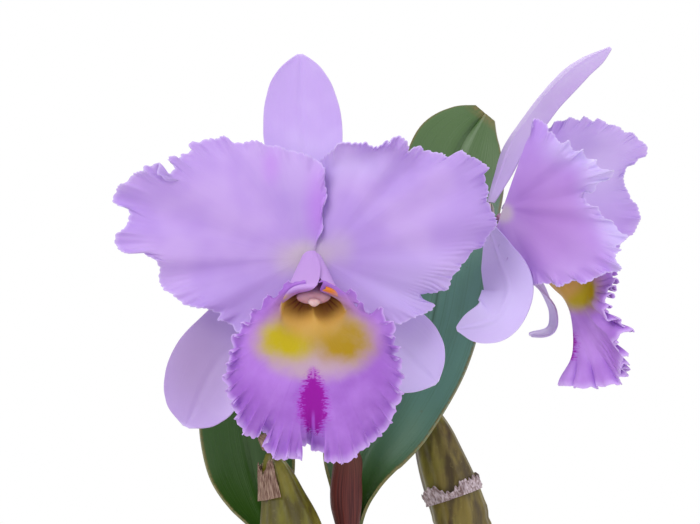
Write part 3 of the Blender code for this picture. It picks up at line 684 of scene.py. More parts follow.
class Modeller:
    """Makes pieces with Blender's own operators and hands them to the frame."""

    def clear(self) -> None:
        """Deselects everything, so that an operator acts on the new piece alone."""
        bpy.ops.object.select_all(action="DESELECT")

    def choose(self, obj: Piece) -> None:
        """Makes this the one piece that operators act on."""
        self.clear()
        bpy.context.view_layer.objects.active = obj
        obj.select_set(True)

    def named(self, name: str) -> Piece:
        """Names the active object and its mesh."""
        obj = bpy.context.active_object
        obj.name = obj.data.name = name
        return obj

    def read(self, obj: Piece) -> Array:
        """Gives the mesh's points as Blender stores them."""
        flat = np.empty(len(obj.data.vertices) * 3, np.float32)
        obj.data.vertices.foreach_get("co", flat)
        return flat.reshape(-1, 3)

    def points(self, obj: Piece) -> Array:
        """Gives the mesh's points in millimetres."""
        return self.read(obj).astype(float) / MM

    def place_points(self, obj: Piece, points: Array) -> None:
        """Puts the mesh's points at these places, given in millimetres."""
        obj.data.vertices.foreach_set("co", (points * MM).astype(np.float32).ravel())
        obj.data.update()

    def modify(self, obj: Piece, kind: str, **settings: object) -> None:
        """Adds one modifier to the active piece and applies it.

        Args:
            obj: The piece.
            kind: Blender's name for the modifier.
            settings: Its settings.
        """
        modifier = obj.modifiers.new(kind.title(), kind)
        for key, value in settings.items():
            setattr(modifier, key, value)
        bpy.ops.object.modifier_apply(modifier=modifier.name)

    def sheet(
        self,
        name: str,
        surface: Surface,
        size: Grid,
        thickness: float,
        place: Place = PLANT,
        ease: float = 1.3,
    ) -> Piece:
        """Makes a thin closed blade from a grid.

        Args:
            name: The piece's name.
            surface: Gives its middle surface from shares across and along.
            size: Columns and rows.
            thickness: In millimetres.
            place: The frame that the surface is given in.
            ease: Over 1, rows crowd towards the margin.

        Returns:
            The piece, with a second UV map named face that holds x and z of its own frame.
        """
        self.clear()
        bpy.ops.mesh.primitive_grid_add(x_subdivisions=size[0], y_subdivisions=size[1], size=2.0)
        obj = self.named(name)
        flat = self.read(obj)
        across, column = np.unique(np.round((flat[:, 0] + 1) / 2, 5), return_inverse=True)
        along, row = np.unique(np.round((flat[:, 1] + 1) / 2, 5), return_inverse=True)
        points = surface(across, 1 - (1 - along) ** ease)[row.ravel(), column.ravel()]
        face = obj.data.uv_layers.new(name="face")
        corners = np.empty(len(obj.data.loops), np.int32)
        obj.data.loops.foreach_get("vertex_index", corners)
        face.data.foreach_set("uv", (points[corners][:, [0, 2]] / FACE_UNIT).astype(np.float32).ravel())
        self.place_points(obj, place.set(points))
        self.modify(obj, "SOLIDIFY", thickness=thickness * MM, offset=0.0)
        bpy.ops.object.shade_smooth_by_angle(angle=math.radians(SHEET_CREASE))
        return obj

    def limb(self, name: str, limb: Limb, size: Grid, place: Place = PLANT) -> Piece:
        """Makes a closed round stem from a sphere.

        Args:
            name: The piece's name.
            limb: The stem's route and sizes.
            size: Segments round it and rings along it.
            place: The frame that its route is given in.

        Returns:
            The piece, whose UV map holds the share round it and along it.
        """
        self.clear()
        bpy.ops.mesh.primitive_uv_sphere_add(segments=size[0], ring_count=size[1], radius=1.0)
        obj = self.named(name)
        ball = self.read(obj).astype(float)
        share = 1 - np.arccos(np.clip(ball[:, 2], -1.0, 1.0)) / math.pi
        turn = np.arctan2(ball[:, 1], ball[:, 0])
        self.place_points(obj, place.set(limb.surface(turn, share)))
        bpy.ops.object.mode_set(mode="EDIT")
        bpy.ops.mesh.select_all(action="SELECT")
        bpy.ops.mesh.normals_make_consistent(inside=False)
        bpy.ops.object.mode_set(mode="OBJECT")
        bpy.ops.object.shade_smooth()
        return obj

    def weigh(self, obj: Piece, name: str, values: Array) -> None:
        """Stores one number for each of the mesh's points."""
        layer = obj.data.attributes.new(name, "FLOAT", "POINT")
        layer.data.foreach_set("value", values.astype(np.float32))

    def dress(self, obj: Piece, paint: Material, slot: Slot, *nodes: str) -> None:
        """Gives a piece its finish, its body and the solids that it stands for.

        Args:
            obj: The piece.
            paint: Its material.
            slot: The record's slot that the finish belongs to; not used.
            nodes: The solids that it stands for.
        """
        obj.data.materials.clear()
        obj.data.materials.append(paint)
        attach(obj, BODY)
        if nodes:
            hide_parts(*nodes)
        log.info("%s: %d faces", obj.name, len(obj.data.polygons))


def tone(red: float, green: float, blue: float) -> tuple[float, ...]:
    """Turns a display colour of 0 to 255 into the linear colour that a shader takes."""
    shares = np.array((red, green, blue)) / 255
    linear = np.where(shares <= 0.04045, shares / 12.92, ((shares + 0.055) / 1.055) ** 2.4)
    return (*linear.tolist(), 1.0)


class Paint:
    """Wires the nodes of one material, and keeps the colour mixed so far."""

    def __init__(self, name: str, roughness: float, **sockets: float | tuple[float, ...]) -> None:
        """Starts a material.

        Args:
            name: The material's name.
            roughness: The shader's roughness.
            sockets: Other values of the shader, by socket name with _ for a space.
        """
        self.material = bpy.data.materials.new(name)
        self.material.use_nodes = True
        self.nodes = self.material.node_tree.nodes
        self.links = self.material.node_tree.links
        self.shader = self.nodes["Principled BSDF"]
        self.shader.inputs["Roughness"].default_value = roughness
        for key, value in sockets.items():
            self.shader.inputs[key.replace("_", " ")].default_value = value
        self.place = self.nodes.new("ShaderNodeTexCoord").outputs["Object"]
        self.colour: Socket | None = None

    def put(self, socket: Socket, value: object) -> None:
        """Links a socket to another, or sets its value."""
        if isinstance(value, Socket):
            self.links.new(value, socket)
        else:
            socket.default_value = value

    def add(self, kind: str, **inputs: object) -> bpy.types.Node:
        """Adds a node and feeds it.

        Args:
            kind: Blender's name for the node, less ShaderNode.
            inputs: What its sockets take, by socket name with _ for a space.

        Returns:
            The node.
        """
        node = self.nodes.new(f"ShaderNode{kind}")
        for key, value in inputs.items():
            self.put(node.inputs[key.replace("_", " ")], value)
        return node

    def uv(self, name: str) -> Socket:
        """Gives the coordinates of one of the piece's UV maps."""
        node = self.nodes.new("ShaderNodeUVMap")
        node.uv_map = name
        return node.outputs["UV"]

    def weight(self, name: str) -> Socket:
        """Gives one of the numbers stored on the piece's points."""
        node = self.nodes.new("ShaderNodeAttribute")
        node.attribute_name = name
        return node.outputs["Fac"]

    def split(self, vector: Socket) -> tuple[Socket, ...]:
        """Gives a vector's three numbers."""
        return tuple(self.add("SeparateXYZ", Vector=vector).outputs)

    def shares(self) -> tuple[Socket, Socket]:
        """Gives the shares across or round the piece and along it."""
        across, along, _ = self.split(self.uv("UVMap"))
        return across, along

    def stretch(self, vector: Socket, scale: Point) -> Socket:
        """Scales coordinates."""
        return self.add("Mapping", Vector=vector, Scale=scale).outputs[0]

    def noise(self, vector: Socket, scale: float, detail: float = 3.0, warp: float = 0.0) -> Socket:
        """Gives cloudy noise between 0 and 1."""
        node = self.add("TexNoise", Vector=vector, Scale=scale, Detail=detail, Distortion=warp)
        return node.outputs["Fac"]

    def fibres(self, across: float, along: float, detail: float = 3.0, warp: float = 0.0) -> Socket:
        """Gives noise drawn out along the piece, by how often it changes across and along."""
        return self.noise(self.stretch(self.uv("UVMap"), (across, along, 1.0)), 1.0, detail, warp)

    def cells(self, vector: Socket, scale: float) -> Socket:
        """Gives the distance to the nearest of many scattered points."""
        return self.add("TexVoronoi", Vector=vector, Scale=scale).outputs["Distance"]

    def sum(self, kind: str, first: object, second: object = 0.0, third: object = 0.0) -> Socket:
        """Works out one step of arithmetic.

        Args:
            kind: Blender's name for it, such as ADD.
            first: The first number.
            second: The second number.
            third: The third number.

        Returns:
            The result.
        """
        node = self.add("Math")
        node.operation = kind
        for socket, value in zip(node.inputs, (first, second, third)):
            self.put(socket, value)
        return node.outputs[0]

    def times(self, first: object, *others: object) -> Socket:
        """Multiplies numbers in order."""
        for other in others:
            first = self.sum("MULTIPLY", first, other)
        return first

    def fade(self, value: Socket, low: float, high: float, bottom: float = 0.0, top: float = 1.0) -> Socket:
        """Rises or falls softly as a value goes from low to high.

        Args:
            value: The value.
            low: Where the fade starts.
            high: Where it ends.
            bottom: What it gives at its start.
            top: What it gives at its end.

        Returns:
            The faded value.
        """
        node = self.add("MapRange", Value=value, From_Min=low, From_Max=high, To_Min=bottom, To_Max=top)
        node.interpolation_type = "SMOOTHSTEP"
        return node.outputs[0]

    def mix(self, share: object, first: object, second: object) -> Socket:
        """Blends two colours.

        Args:
            share: How much of the second colour shows, from 0 to 1.
            first: The first colour.
            second: The second colour.

        Returns:
            The blend.
        """
        node = self.add("Mix")
        node.data_type = "RGBA"
        node.clamp_factor = True
        self.put(node.inputs["Factor"], share)
        colours = [socket for socket in node.inputs if socket.type == "RGBA"]
        self.put(colours[0], first)
        self.put(colours[1], second)
        return [socket for socket in node.outputs if socket.type == "RGBA"][0]

    def ground(self, share: Socket, first: Colour, second: Colour) -> None:
        """Starts the colour as a blend of two."""
        self.colour = self.mix(share, tone(*first), tone(*second))

    def coat(self, share: Socket, shade: Colour) -> None:
        """Lays one more colour over the colour so far."""
        self.colour = self.mix(share, self.colour, tone(*shade))

    def blot(self, centre: Pair, size: Pair, soft: float) -> Socket:
        """Gives a soft oval on the face map that is 1 in its middle.

        Args:
            centre: Its middle, in millimetres.
            size: Its half-axes, in millimetres.
            soft: The share of its size over which it fades.

        Returns:
            The oval's strength.
        """
        square = 0.0
        for place, middle, half in zip(self.split(self.uv("face")), centre, size):
            step = self.sum("MULTIPLY_ADD", place, FACE_UNIT / half, -middle / half)
            square = self.sum("MULTIPLY_ADD", step, step, square)
        return self.fade(self.sum("SQRT", square), 1.0 + soft, 1.0 - soft)

    def finish(self, height: Socket | None = None, depth: float = 0.0003, strength: float = 0.5) -> Material:
        """Sets the colour and the fine relief.

        Args:
            height: The relief, or None for a smooth skin.
            depth: How deep the relief is, in metres.
            strength: How strongly it shows.

        Returns:
            The material.
        """
        self.put(self.shader.inputs["Base Color"], self.colour)
        if height is not None:
            relief = self.add("Bump", Strength=strength, Distance=depth, Height=height)
            self.put(self.shader.inputs["Normal"], relief.outputs[0])
        return self.material


@dataclass(frozen=True)
class PetalFinish:
    """The lilac skin of petals and sepals, with tints that partly paint light and shade."""

    light: Colour = (193, 164, 229)
    deep: Colour = (180, 149, 222)
    # Pink flush, also painted shade on a curled edge
    flush_and_painted_shade: Colour = (188, 130, 232)
    base: Colour = (204, 190, 200)
    vein: Colour = (176, 146, 222)
    # Painted shade
    painted_shade: Colour = (176, 131, 205)
    # Painted shade, grey-lilac
    grey_painted_shade: Colour = (172, 148, 196)
    # Paler lilac, also painted light
    pale: Colour = (206, 190, 244)
    rim: Colour = (218, 202, 250)

    def material(self, name: str) -> Material:
        """Mixes the veined, clouded skin, paler at its base, with tints of which some are painted light or
        painted shade.

        Args:
            name: The material's name.

        Returns:
            The material.
        """
        paint = Paint(
            name,
            0.5,
            Subsurface_Weight=0.22,
            Subsurface_Radius=(1.0, 0.7, 1.0),
            Subsurface_Scale=0.002,
            Sheen_Weight=0.05,
            Sheen_Roughness=0.4,
            Specular_IOR_Level=0.28,
        )
        _, along = paint.shares()
        cloud = paint.noise(paint.place, 38.0, 2.0)
        paint.ground(paint.fade(cloud, 0.35, 0.68), self.deep, self.light)
        streaks = paint.fibres(46.0, 2.2, 4.0, 0.4)
        streak_share = paint.times(paint.fade(streaks, 0.52, 0.72), paint.fade(along, 0.95, 0.1, 0.04, 0.2))
        paint.coat(streak_share, self.vein)
        # The flush, darker, grey and pale tints paint shade or light as well as colour
        for tint, share, shade in (
            (Tint.FLUSH, 0.85, self.flush_and_painted_shade),
            (Tint.PAINTED_SHADE, 0.9, self.painted_shade),
            (Tint.GREY_PAINTED_SHADE, 1.0, self.grey_painted_shade),
            (Tint.PALE_AND_PAINTED_LIGHT, 0.9, self.pale),
        ):
            paint.coat(paint.times(paint.weight(tint.value), share), shade)
        cream = paint.weight(Tint.CREAM.value)
        cream = paint.sum("ADD", cream, paint.fade(cloud, 0.3, 0.7, -0.06, 0.06))
        paint.coat(paint.fade(cream, 0.0, 1.0, 0.0, 0.85), self.base)
        paint.coat(paint.fade(along, 0.94, 1.0, 0.0, 0.5), self.rim)
        return paint.finish(streaks, 0.0003, 0.2)


@dataclass(frozen=True)
class LipFinish:
    """The purple lip with two yellow eyes and a magenta blaze. Places are in millimetres on its face."""

    left_eye: Pair = (-9.2, -33.9)
    left_size: Pair = (11.2, 7.6)
    right_eye: Pair = (13.0, -34.2)
    right_size: Pair = (11.6, 8.2)
    halo: Pair = (2.2, -35.5)
    halo_size: Pair = (22.5, 14.0)
    throat: Pair = (1.6, -23.5)
    throat_size: Pair = (12.5, 8.5)
    blaze_middle: float = 1.0
    blaze_top: float = -44.8
    blaze_broad: float = -57.0
    blaze_foot: float = -71.5
    blaze_half: float = 5.3
    prong_feet: Pair = (-49.6, -48.6)
    slit_head: Pair = (-61.0, -66.0)
    dark: Colour = (158, 100, 200)
    light: Colour = (180, 126, 222)
    rim_shade: Colour = (212, 180, 246)
    tube_shade: Colour = (198, 158, 226)
    halo_shade: Colour = (188, 160, 178)
    glow_shade: Colour = (184, 158, 108)
    left_shade: Colour = (186, 166, 14)
    right_shade: Colour = (168, 134, 18)
    throat_shade: Colour = (178, 140, 52)
    # Painted light: a lighter gold inside the tube, against the shade there
    painted_light_gold: Colour = (206, 162, 80)
    seam_shade: Colour = (222, 128, 44)
    stripe_shade: Colour = (158, 78, 52)
    blaze_edge: Colour = (168, 44, 200)
    blaze_core: Colour = (148, 0, 158)
    fan_foot: Pair = (1.4, -13.0)
    fan_lines: float = 34.0
    fan_place: Pair = (1.4, -18.5)
    fan_size: Pair = (10.5, 4.6)

    def material(self, name: str) -> Material:
        """Mixes the lip's zones of colour, each with its own soft or feathered edge.

        Args:
            name: The material's name.

        Returns:
            The material.
        """
        paint = Paint(
            name,
            0.5,
            Subsurface_Weight=0.15,
            Subsurface_Radius=(1.0, 0.6, 1.0),
            Subsurface_Scale=0.002,
            Specular_IOR_Level=0.22,
        )
        across, along = paint.shares()
        x, z, _ = paint.split(paint.uv("face"))
        x, z = paint.times(x, FACE_UNIT), paint.times(z, FACE_UNIT)
        cloud = paint.noise(paint.place, 60.0, 4.0)
        streaks = paint.fibres(90.0, 2.5, 3.0, 0.5)
        paint.ground(paint.fade(cloud, 0.3, 0.72), self.dark, self.light)
        paint.coat(paint.times(paint.fade(streaks, 0.5, 0.75), 0.25), self.dark)
        paint.coat(paint.fade(along, 0.92, 1.0, 0.0, 0.85), self.rim_shade)
        paint.coat(paint.fade(along, 0.42, 0.3), self.tube_shade)
        self.eyes(paint, across, along, z)
        self.stripes(paint, x, z)
        self.blaze(paint, x, z)
        return paint.finish(streaks, 0.0005, 0.35)

    def eyes(self, paint: Paint, across: Socket, along: Socket, z: Socket) -> None:
        """Adds the beige halo, the two eyes, the golden throat, a lighter gold painted inside the tube as
        painted light against its shade, and the orange edge of the tube's seam.

        Args:
            paint: The material's nodes.
            across: Shares of the way along the margin.
            along: Shares of the way from the tube's base to the margin.
            z: Heights on the face.
        """
        ripple = paint.fade(paint.noise(paint.uv("face"), 14.0, 3.0), 0.3, 0.7, 0.84, 1.16)
        inside = paint.times(paint.fade(along, 0.26, 0.38), paint.fade(z, -15.5, -21.0))
        halo = paint.times(paint.blot(self.halo, self.halo_size, 0.45), ripple)
        halo = paint.times(paint.fade(halo, 0.1, 0.9, 0.0, 0.92), inside)
        paint.coat(halo, self.halo_shade)
        glow_size = (self.halo_size[0] * 0.78, self.halo_size[1] * 0.6)
        glow_place = (self.halo[0], self.halo[1] + 6.0)
        glow = paint.times(paint.blot(glow_place, glow_size, 0.9), inside)
        paint.coat(paint.fade(glow, 0.0, 1.0, 0.0, 0.75), self.glow_shade)
        for middle, size, yellow in (
            (self.left_eye, self.left_size, self.left_shade),
            (self.right_eye, self.right_size, self.right_shade),
        ):
            eye = paint.times(ripple, paint.blot(middle, size, 0.95))
            eye = paint.times(paint.fade(eye, 0.05, 0.95), inside)
            paint.coat(eye, yellow)
        throat = paint.blot(self.throat, self.throat_size, 0.7)
        throat = paint.times(throat, paint.fade(z, -14.0, -16.5))
        paint.coat(throat, self.throat_shade)
        # Painted light: the lower inside of the tube is brightened to gold against the shade that falls there
        deep = paint.times(paint.fade(along, 0.43, 0.33), paint.fade(z, -14.5, -17.0))
        paint.coat(deep, self.painted_light_gold)
        on_seam = paint.fade(across, 0.965, 0.99)
        edge = paint.times(on_seam, paint.fade(along, 0.24, 0.3), paint.fade(along, 0.42, 0.37))
        paint.coat(edge, self.seam_shade)

    def stripes(self, paint: Paint, x: Socket, z: Socket) -> None:
        """Adds the red-brown lines that fan out beside the column.

        Args:
            paint: The material's nodes.
            x: Places across the face.
            z: Heights on the face.
        """
        across = paint.sum("SUBTRACT", x, self.fan_foot[0])
        fan = paint.sum("ARCTAN2", paint.sum("SUBTRACT", z, self.fan_foot[1]), across)
        lines = paint.fade(paint.sum("SINE", paint.times(fan, self.fan_lines)), 0.1, 0.8)
        beside = paint.fade(paint.sum("ABSOLUTE", across), 4.0, 6.5)
        near = paint.blot(self.fan_place, self.fan_size, 0.25)
        paint.coat(paint.times(lines, beside, near, 0.7), self.stripe_shade)

    def blaze(self, paint: Paint, x: Socket, z: Socket) -> None:
        """Adds the feathered blaze, pronged above and slit below.

        Args:
            paint: The material's nodes.
            x: Places across the face.
            z: Heights on the face.
        """
        across = paint.sum("SUBTRACT", x, self.blaze_middle)
        outward = paint.sum("ABSOLUTE", across)
        feather = paint.noise(paint.stretch(paint.uv("face"), (45.0, 130.0, 1.0)), 1.0, 6.0, 1.2)
        fringe = paint.fade(feather, 0.28, 0.72, -4.6, 3.6)
        half = paint.fade(z, self.blaze_top, self.blaze_broad, 0.9, self.blaze_half)
        half = paint.times(half, paint.fade(z, self.blaze_foot, self.blaze_foot + 8.0, 0.45, 1.0))
        inside = paint.sum("SUBTRACT", paint.sum("MULTIPLY_ADD", fringe, 0.4, half), outward)
        upper = paint.sum("MULTIPLY_ADD", fringe, 0.35, z)
        lower = paint.sum("MULTIPLY_ADD", fringe, 0.5, z)
        ends = paint.times(
            paint.fade(upper, self.blaze_top + 0.6, self.blaze_top - 1.2),
            paint.fade(lower, self.blaze_foot - 0.6, self.blaze_foot + 0.8),
        )
        prongs = paint.times(paint.fade(outward, 0.7, 0.3), paint.fade(z, *self.prong_feet))
        slit = paint.times(paint.fade(outward, 1.0, 0.2), paint.fade(z, *self.slit_head))
        open_share = paint.sum("SUBTRACT", 1.0, paint.sum("MAXIMUM", prongs, slit))
        shade = paint.times(paint.fade(inside, -2.4, 0.2, 0.0, 0.6), ends)
        paint.coat(shade, self.blaze_edge)
        core = paint.times(paint.fade(inside, -0.5, 1.0), ends, open_share)
        paint.coat(core, self.blaze_core)


@dataclass(frozen=True)
class LeafFinish:
    """The thick, waxy skin of the leaves, read along the leaf."""

    foot: Colour = (48, 88, 16)
    middle: Colour = (102, 150, 132)
    tip: Colour = (84, 116, 66)
    edge: Colour = (120, 112, 60)
    patch: Colour = (60, 98, 36)
    vein: Colour = (58, 90, 34)
    rib: Colour = (48, 80, 26)
    spot: Colour = (96, 92, 54)

    def material(self, name: str) -> Material:
        """Mixes the length's greens, fine parallel veins and a dry yellowish rim.

        Args:
            name: The material's name.

        Returns:
            The material.
        """
        paint = Paint(name, 0.38, Specular_IOR_Level=0.45, Coat_Weight=0.12, Coat_Roughness=0.3)
        across, along = paint.shares()
        paint.ground(paint.fade(along, 0.08, 0.42), self.foot, self.middle)
        paint.coat(paint.fade(along, 0.62, 0.9), self.tip)
        cloud = paint.noise(paint.stretch(paint.place, (1.0, 1.0, 0.4)), 45.0, 4.0)
        paint.coat(paint.fade(cloud, 0.45, 0.75, 0.0, 0.4), self.patch)
        veins = paint.fibres(60.0, 0.8, 3.0)
        paint.coat(paint.fade(veins, 0.5, 0.75, 0.0, 0.25), self.vein)
        from_rib = paint.sum("ABSOLUTE", paint.sum("SUBTRACT", across, 0.5))
        paint.coat(paint.fade(from_rib, 0.03, 0.0, 0.0, 0.5), self.rib)
        rim = paint.sum("MAXIMUM", paint.fade(from_rib, 0.47, 0.498), paint.fade(along, 0.975, 0.998))
        specks = paint.noise(paint.place, 700.0, 2.0)
        rim = paint.times(rim, paint.fade(specks, 0.3, 0.6, 0.4, 1.0))
        paint.coat(rim, self.edge)
        spots = paint.fade(paint.cells(paint.place, 120.0), 0.1, 0.04, 0.0, 0.35)
        paint.coat(spots, self.spot)
        relief = paint.sum("ADD", veins, paint.times(specks, 0.2))
        return paint.finish(relief, 0.0004, 0.4)


@dataclass(frozen=True)
class BulbFinish:
    """The olive skin of a pseudobulb, streaked, clouded and spotted."""

    skin: Colour = (110, 106, 22)
    shade: Colour = (78, 70, 16)
    spot: Colour = (70, 46, 28)
    patch: Colour = (132, 124, 40)
    scurf: Colour = (148, 138, 80)

    def material(self, name: str) -> Material:
        """Mixes lengthwise streaks, dark spots and pale scurf.

        Args:
            name: The material's name.

        Returns:
            The material.
        """
        paint = Paint(name, 0.42, Specular_IOR_Level=0.4, Coat_Weight=0.1, Coat_Roughness=0.35)
        streaks = paint.noise(paint.stretch(paint.place, (1.0, 1.0, 0.12)), 260.0, 4.0)
        paint.ground(paint.fade(streaks, 0.35, 0.68), self.shade, self.skin)
        cloud = paint.noise(paint.place, 55.0, 3.0)
        paint.coat(paint.fade(cloud, 0.48, 0.72, 0.0, 0.7), self.patch)
        paint.coat(paint.fade(cloud, 0.45, 0.3, 0.0, 0.6), self.shade)
        dots = paint.cells(paint.stretch(paint.place, (1.0, 1.0, 0.55)), 105.0)
        paint.coat(paint.fade(dots, 0.2, 0.1, 0.0, 0.8), self.spot)
        scurf = paint.fade(paint.noise(paint.place, 900.0, 3.0), 0.62, 0.75, 0.0, 0.35)
        paint.coat(scurf, self.scurf)
        grain = paint.times(paint.noise(paint.place, 500.0), 0.3)
        relief = paint.sum("ADD", streaks, grain)
        return paint.finish(relief, 0.0008, 0.5)


@dataclass(frozen=True)
class PaperFinish:
    """A dry, fibrous sheath."""

    dark: Colour = (104, 74, 62)
    light: Colour = (172, 146, 130)
    blot: Colour = (80, 44, 36)

    def material(self, name: str) -> Material:
        """Mixes long fibres over a blotched papery ground.

        Args:
            name: The material's name.

        Returns:
            The material.
        """
        paint = Paint(name, 0.8, Specular_IOR_Level=0.2)
        fibres = paint.fibres(70.0, 3.0, 5.0)
        paint.ground(paint.fade(fibres, 0.35, 0.65), self.dark, self.light)
        blots = paint.noise(paint.place, 180.0, 3.0)
        paint.coat(paint.fade(blots, 0.5, 0.7, 0.0, 0.5), self.blot)
        return paint.finish(fibres, 0.0009, 0.7)


def stem_material(name: str, near: Colour, far: Colour) -> Material:
    """Mixes a smooth green stem that changes colour along its length.

    Args:
        name: The material's name.
        near: Its colour at the start of its route.
        far: Its colour at the end.

    Returns:
        The material.
    """
    paint = Paint(name, 0.45, Specular_IOR_Level=0.4, Subsurface_Weight=0.1, Subsurface_Scale=0.002)
    _, along = paint.shares()
    paint.ground(paint.fade(along, 0.05, 0.5), near, far)
    streaks = paint.fibres(26.0, 2.0, 3.0)
    paint.coat(paint.fade(streaks, 0.5, 0.75, 0.0, 0.35), (92, 116, 52))
    blush = paint.noise(paint.place, 90.0, 2.0)
    paint.coat(paint.fade(blush, 0.5, 0.75, 0.0, 0.35), (142, 108, 92))
    return paint.finish(streaks, 0.0004, 0.4)


def spathe_material(name: str) -> Material:
    """Mixes the maroon, lengthwise-ribbed bract round the flower stem.

    Args:
        name: The material's name.

    Returns:
        The material.
    """
    paint = Paint(name, 0.5, Specular_IOR_Level=0.35)
    _, along = paint.shares()
    ribs = paint.fibres(34.0, 1.2, 3.0)
    paint.ground(paint.fade(ribs, 0.35, 0.65), (72, 22, 24), (106, 44, 38))
    paint.coat(paint.fade(along, 0.55, 1.0, 0.0, 0.55), (92, 54, 36))
    return paint.finish(ribs, 0.0007, 0.6)


def column_material(name: str) -> Material:
    """Mixes the fleshy mauve column.

    Args:
        name: The material's name.

    Returns:
        The material.
    """
    paint = Paint(name, 0.35, Specular_IOR_Level=0.45, Subsurface_Weight=0.3, Subsurface_Scale=0.002)
    _, along = paint.shares()
    cloud = paint.noise(paint.place, 260.0, 3.0)
    paint.ground(paint.fade(cloud, 0.35, 0.7), (186, 134, 172), (200, 152, 190))
    paint.coat(paint.fade(along, 0.8, 1.0, 0.0, 0.7), (196, 142, 150))
    return paint.finish(cloud, 0.0003, 0.3)


def anther_material(name: str) -> Material:
    """Mixes the pale, faintly clouded cap.

    Args:
        name: The material's name.

    Returns:
        The material.
    """
    paint = Paint(name, 0.4, Subsurface_Weight=0.3, Subsurface_Scale=0.001)
    cloud = paint.noise(paint.place, 500.0, 2.0)
    paint.ground(paint.fade(cloud, 0.35, 0.7), (206, 166, 172), (220, 188, 184))
    return paint.finish(cloud, 0.0003, 0.3)


def clay_material(name: str) -> Material:
    """Mixes fired clay with turning marks, grit and pale lime stains.

    Args:
        name: The material's name.

    Returns:
        The material.
    """
    paint = Paint(name, 0.85, Specular_IOR_Level=0.2)
    _, _, height = paint.split(paint.place)
    cloud = paint.noise(paint.place, 22.0, 4.0)
    paint.ground(paint.fade(cloud, 0.35, 0.7), (176, 98, 66), (200, 124, 88))
    grit = paint.noise(paint.place, 900.0, 3.0)
    paint.coat(paint.fade(grit, 0.58, 0.7, 0.0, 0.5), (150, 80, 54))
    lime = paint.fade(paint.noise(paint.place, 34.0, 6.0), 0.52, 0.7)
    paint.coat(paint.times(lime, paint.fade(height, 0.085, 0.01), 0.6), (214, 186, 164))
    paint.coat(paint.fade(height, 0.03, 0.0, 0.0, 0.35), (134, 76, 54))
    rings = paint.noise(paint.stretch(paint.place, (1.0, 1.0, 60.0)), 9.0, 3.0)
    relief = paint.sum("MULTIPLY_ADD", rings, 0.6, paint.times(grit, 0.5))
    return paint.finish(relief, 0.0006, 0.5)


def bark_material(name: str, dark: Colour, light: Colour) -> Material:
    """Mixes flaky bark.

    Args:
        name: The material's name.
        dark: The colour of its cracks.
        light: The colour of its flakes.

    Returns:
        The material.
    """
    paint = Paint(name, 0.9, Specular_IOR_Level=0.2)
    flakes = paint.noise(paint.stretch(paint.place, (1.0, 1.0, 2.2)), 150.0, 6.0, 0.8)
    cloud = paint.noise(paint.place, 42.0, 2.0)
    paint.ground(paint.fade(flakes, 0.36, 0.66), dark, light)
    paint.coat(paint.fade(cloud, 0.45, 0.7, 0.0, 0.6), (132, 92, 62))
    return paint.finish(flakes, 0.0015, 0.8)


def root_material(name: str) -> Material:
    """Mixes silvery root skin with green showing through.

    Args:
        name: The material's name.

    Returns:
        The material.
    """
    paint = Paint(name, 0.7, Specular_IOR_Level=0.25)
    cloud = paint.noise(paint.place, 90.0, 4.0)
    paint.ground(paint.fade(cloud, 0.35, 0.68), (150, 150, 122), (206, 204, 188))
    scurf = paint.noise(paint.place, 800.0, 3.0)
    paint.coat(paint.fade(scurf, 0.55, 0.75, 0.0, 0.5), (120, 104, 78))
    return paint.finish(scurf, 0.0005, 0.5)


FRONT_PLACE = Place((-38.7, -40.0, 324.5), 0.0)
SIDE_PLACE = Place((40.5, -5.0, 342.3), 90.0)
FRONT_CENTRE = (FRONT_PLACE.at[0], FRONT_PLACE.at[2])
SIDE_CENTRE = (SIDE_PLACE.at[0], SIDE_PLACE.at[2])

FRONT_LEFT_TRACE = (
    (316, 253), (319, 244), (322, 235), (323.5, 221), (326, 202), (326.7, 184), (325.5, 171.5), (318, 161),
    (305, 154.5), (292, 150.5), (279, 147), (268, 145), (262, 141), (253.5, 140), (245.5, 142), (238, 143),
    (233.5, 141.5), (229.5, 138), (225.5, 136), (221, 136), (214, 139), (210, 138.5), (204.5, 140.5),
    (201, 143), (197.5, 141.5), (192.5, 143), (189.5, 147), (192, 152.5), (187.5, 155), (182, 156),
    (181.5, 159.5), (183, 162.5), (179, 159), (174.5, 155.5), (169.5, 158), (167.5, 161), (171, 164.5),
    (175, 168), (173.5, 172), (168, 175), (167.5, 179.5), (163, 176), (160, 176), (159.5, 165), (153, 167),
    (146, 166), (145.5, 171), (139, 174.5), (132.5, 176), (129.5, 180), (123, 183), (117, 189),
    (114.5, 195), (112, 199), (117, 204), (125, 209), (129.5, 213.5), (129, 219.5), (126, 227), (122, 231),
    (115.5, 237), (114, 243), (117.5, 247.5), (123.5, 251), (131, 255), (137, 254.5), (140.5, 253),
    (146, 256), (153, 258), (157.5, 265), (160, 272), (158.5, 277.5), (159, 284), (164, 291),
    (169.5, 293.5), (174, 299), (180, 303.5), (185, 306.5), (191, 306), (198, 307.5), (206, 310.5),
    (213, 313), (219.5, 315.5), (217, 320), (224, 323), (231, 325), (238, 332), (252, 334), (270, 326),
    (288, 309), (301, 291), (307, 276),
)
